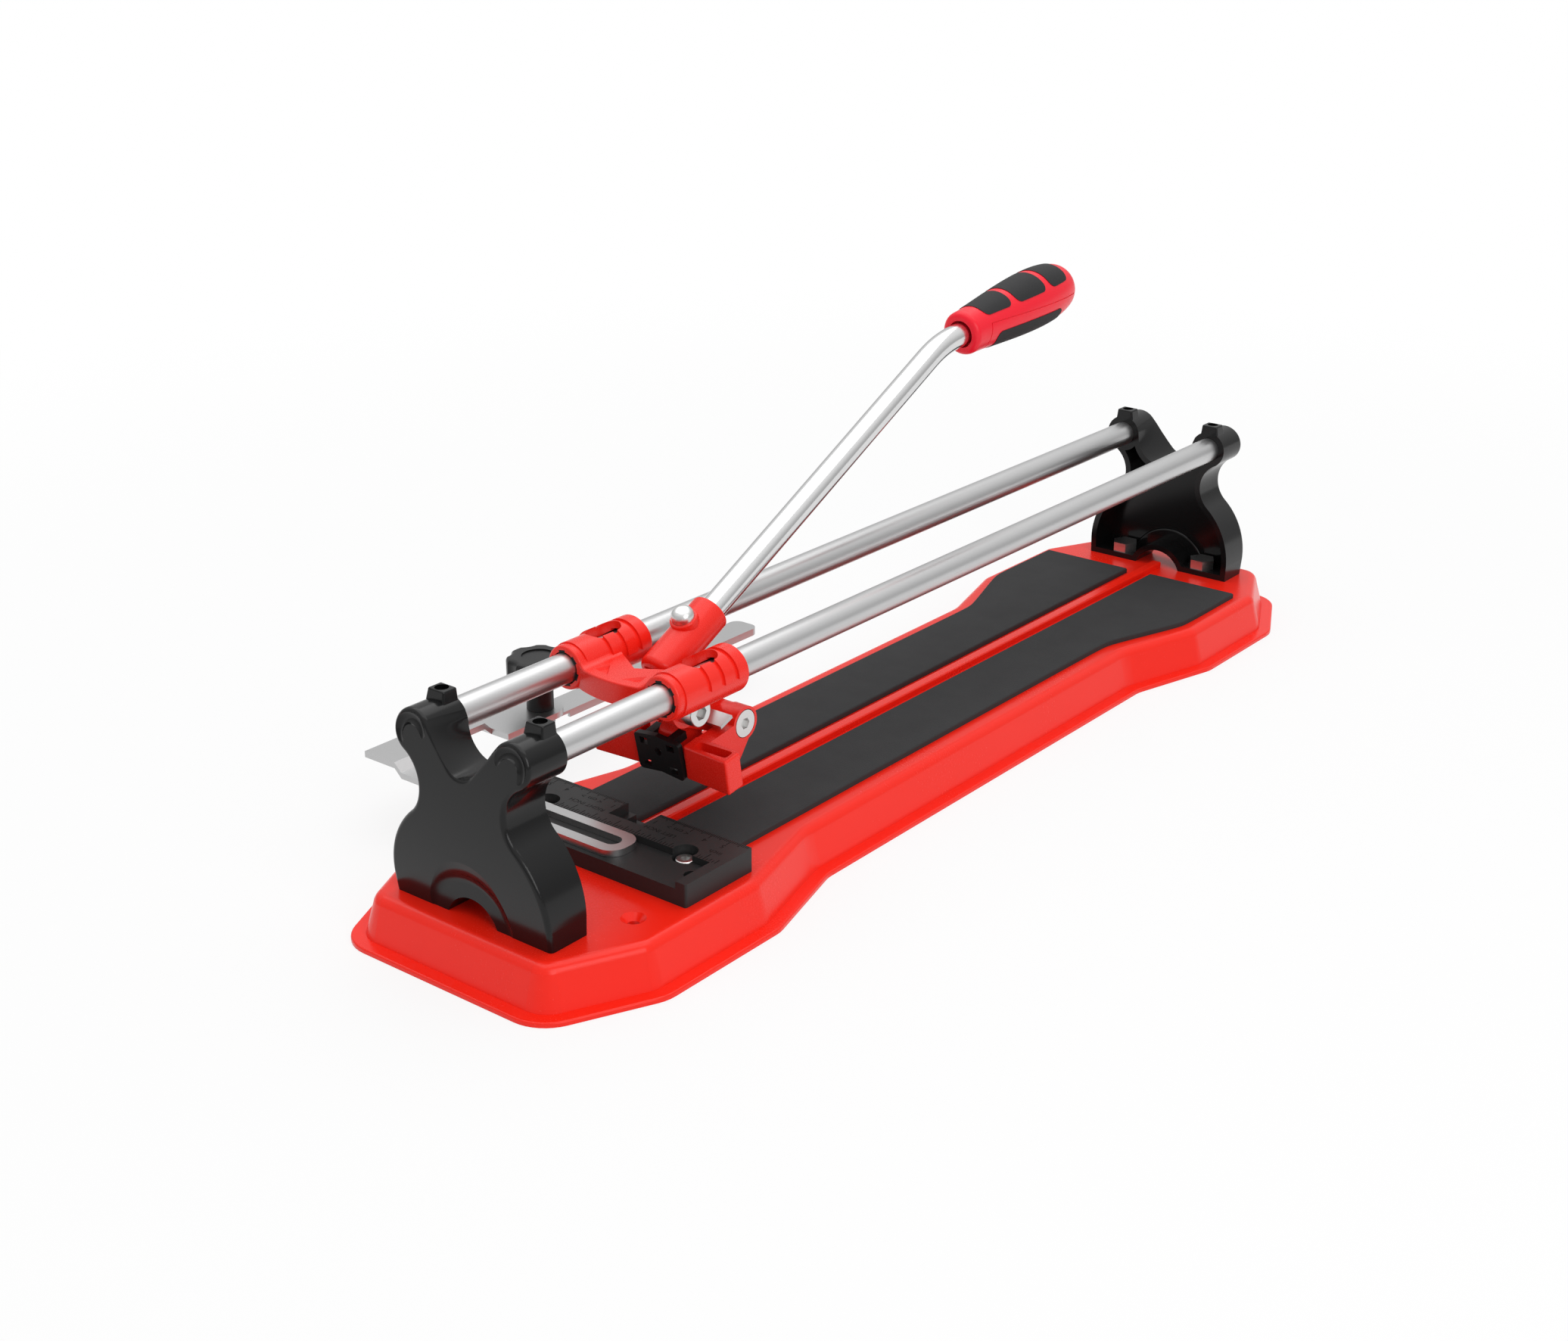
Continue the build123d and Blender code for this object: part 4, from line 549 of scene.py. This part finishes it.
# Studio
floor_grey = 0.86
floor_reach = 12.0
floor_drop = 0.0002
glow_near = 0.80
glow_far = 1.0
glow_start = 0.35
glow_end = 1.1
horizon_level = 0.5
zenith_level = 1.0
zenith_rise = 0.8
ambient = 0.55


def studio_material():
    """Pale floor: plain white far off, and near the object partly lit, which keeps its shadow."""
    material = bpy.data.materials.new("studio_floor")
    material.use_nodes = True
    tree = material.node_tree
    tree.nodes.clear()
    output = tree.nodes.new("ShaderNodeOutputMaterial")
    lit = tree.nodes.new("ShaderNodeBsdfDiffuse")
    lit.inputs["Color"].default_value = (floor_grey, floor_grey, floor_grey, 1)
    plain = tree.nodes.new("ShaderNodeEmission")
    plain.inputs["Color"].default_value = (1, 1, 1, 1)
    path = tree.nodes.new("ShaderNodeLightPath")
    seen = math_node(tree, "MAXIMUM", path.outputs["Is Camera Ray"], path.outputs["Is Glossy Ray"])
    seen = math_node(tree, "MAXIMUM", seen, path.outputs["Is Transmission Ray"])
    distance = tree.nodes.new("ShaderNodeVectorMath")
    distance.operation = "LENGTH"
    tree.links.new(tree.nodes.new("ShaderNodeTexCoord").outputs["Object"], distance.inputs[0])
    fade = tree.nodes.new("ShaderNodeMapRange")
    fade.interpolation_type = "SMOOTHSTEP"
    fade.inputs["From Min"].default_value = glow_start
    fade.inputs["From Max"].default_value = glow_end
    fade.inputs["To Min"].default_value = glow_near
    fade.inputs["To Max"].default_value = glow_far
    tree.links.new(distance.outputs["Value"], fade.inputs["Value"])
    share = math_node(tree, "MULTIPLY", seen, fade.outputs["Result"])
    blend = tree.nodes.new("ShaderNodeMixShader")
    tree.links.new(share, blend.inputs["Fac"])
    tree.links.new(lit.outputs["BSDF"], blend.inputs[1])
    tree.links.new(plain.outputs["Emission"], blend.inputs[2])
    tree.links.new(blend.outputs["Shader"], output.inputs["Surface"])
    return material


floor_points = np.array([[-1, -1, 0], [1, -1, 0], [1, 1, 0], [-1, 1, 0]], float) * floor_reach
floor_points[:, 2] = -floor_drop
floor = mesh_piece("studio_floor", floor_points, np.array([[0, 1, 2, 3]]))
floor.data.materials.append(studio_material())

world = bpy.data.worlds.new("studio")
world.use_nodes = True
bpy.context.scene.world = world
sky = world.node_tree
back = sky.nodes["Background"]
rays = sky.nodes.new("ShaderNodeLightPath")
toward = sky.nodes.new("ShaderNodeSeparateXYZ")
sky.links.new(sky.nodes.new("ShaderNodeTexCoord").outputs["Generated"], toward.inputs["Vector"])
rise = sky.nodes.new("ShaderNodeMapRange")
rise.interpolation_type = "SMOOTHSTEP"
rise.inputs["From Min"].default_value = 0.0
rise.inputs["From Max"].default_value = zenith_rise
rise.inputs["To Min"].default_value = horizon_level
rise.inputs["To Max"].default_value = zenith_level
sky.links.new(toward.outputs["Z"], rise.inputs["Value"])
mirrored = math_node(sky, "MULTIPLY", rays.outputs["Is Glossy Ray"], rise.outputs["Result"])
plain_sky = math_node(sky, "MAXIMUM", rays.outputs["Is Camera Ray"], rays.outputs["Is Transmission Ray"])
lit = math_node(sky, "SUBTRACT", 1.0, rays.outputs["Is Glossy Ray"])
level = math_node(sky, "MULTIPLY_ADD", lit, ambient, mirrored)
back.inputs["Color"].default_value = (1, 1, 1, 1)
sky.links.new(math_node(sky, "MAXIMUM", plain_sky, level), back.inputs["Strength"])


def soft_box(name, place, aim, size, power):
    """A square area lamp at a place, turned to face a point."""
    lamp = bpy.data.lights.new(name, "AREA")
    lamp.size = size
    lamp.energy = power
    holder = bpy.data.objects.new(name, lamp)
    bpy.context.scene.collection.objects.link(holder)
    holder.location = place
    direction = np.array(aim, float) - np.array(place, float)
    flat = np.hypot(direction[0], direction[1])
    holder.rotation_euler = (np.arctan2(flat, -direction[2]), 0.0, np.arctan2(-direction[0], direction[1]))
    return holder


soft_box("overhead_box", (-0.2, 0.1, 1.6), (0, 0, 0.05), 2.1, 18.0)
soft_box("right_box", (1.5, -0.7, 0.9), (0, 0, 0.05), 1.0, 9.0)

camera_data = bpy.data.cameras.new("camera")
camera_data.sensor_fit = "HORIZONTAL"
camera_data.sensor_width = 36.0
camera_data.lens = 50.22
camera = bpy.data.objects.new("camera", camera_data)
bpy.context.scene.collection.objects.link(camera)
camera.location = (0.58138, -0.81867, 0.44501)
camera.rotation_euler = (radians(67.9507), radians(-0.1281), radians(38.4345))
bpy.context.scene.camera = camera
bpy.context.scene.view_settings.view_transform = "Standard"
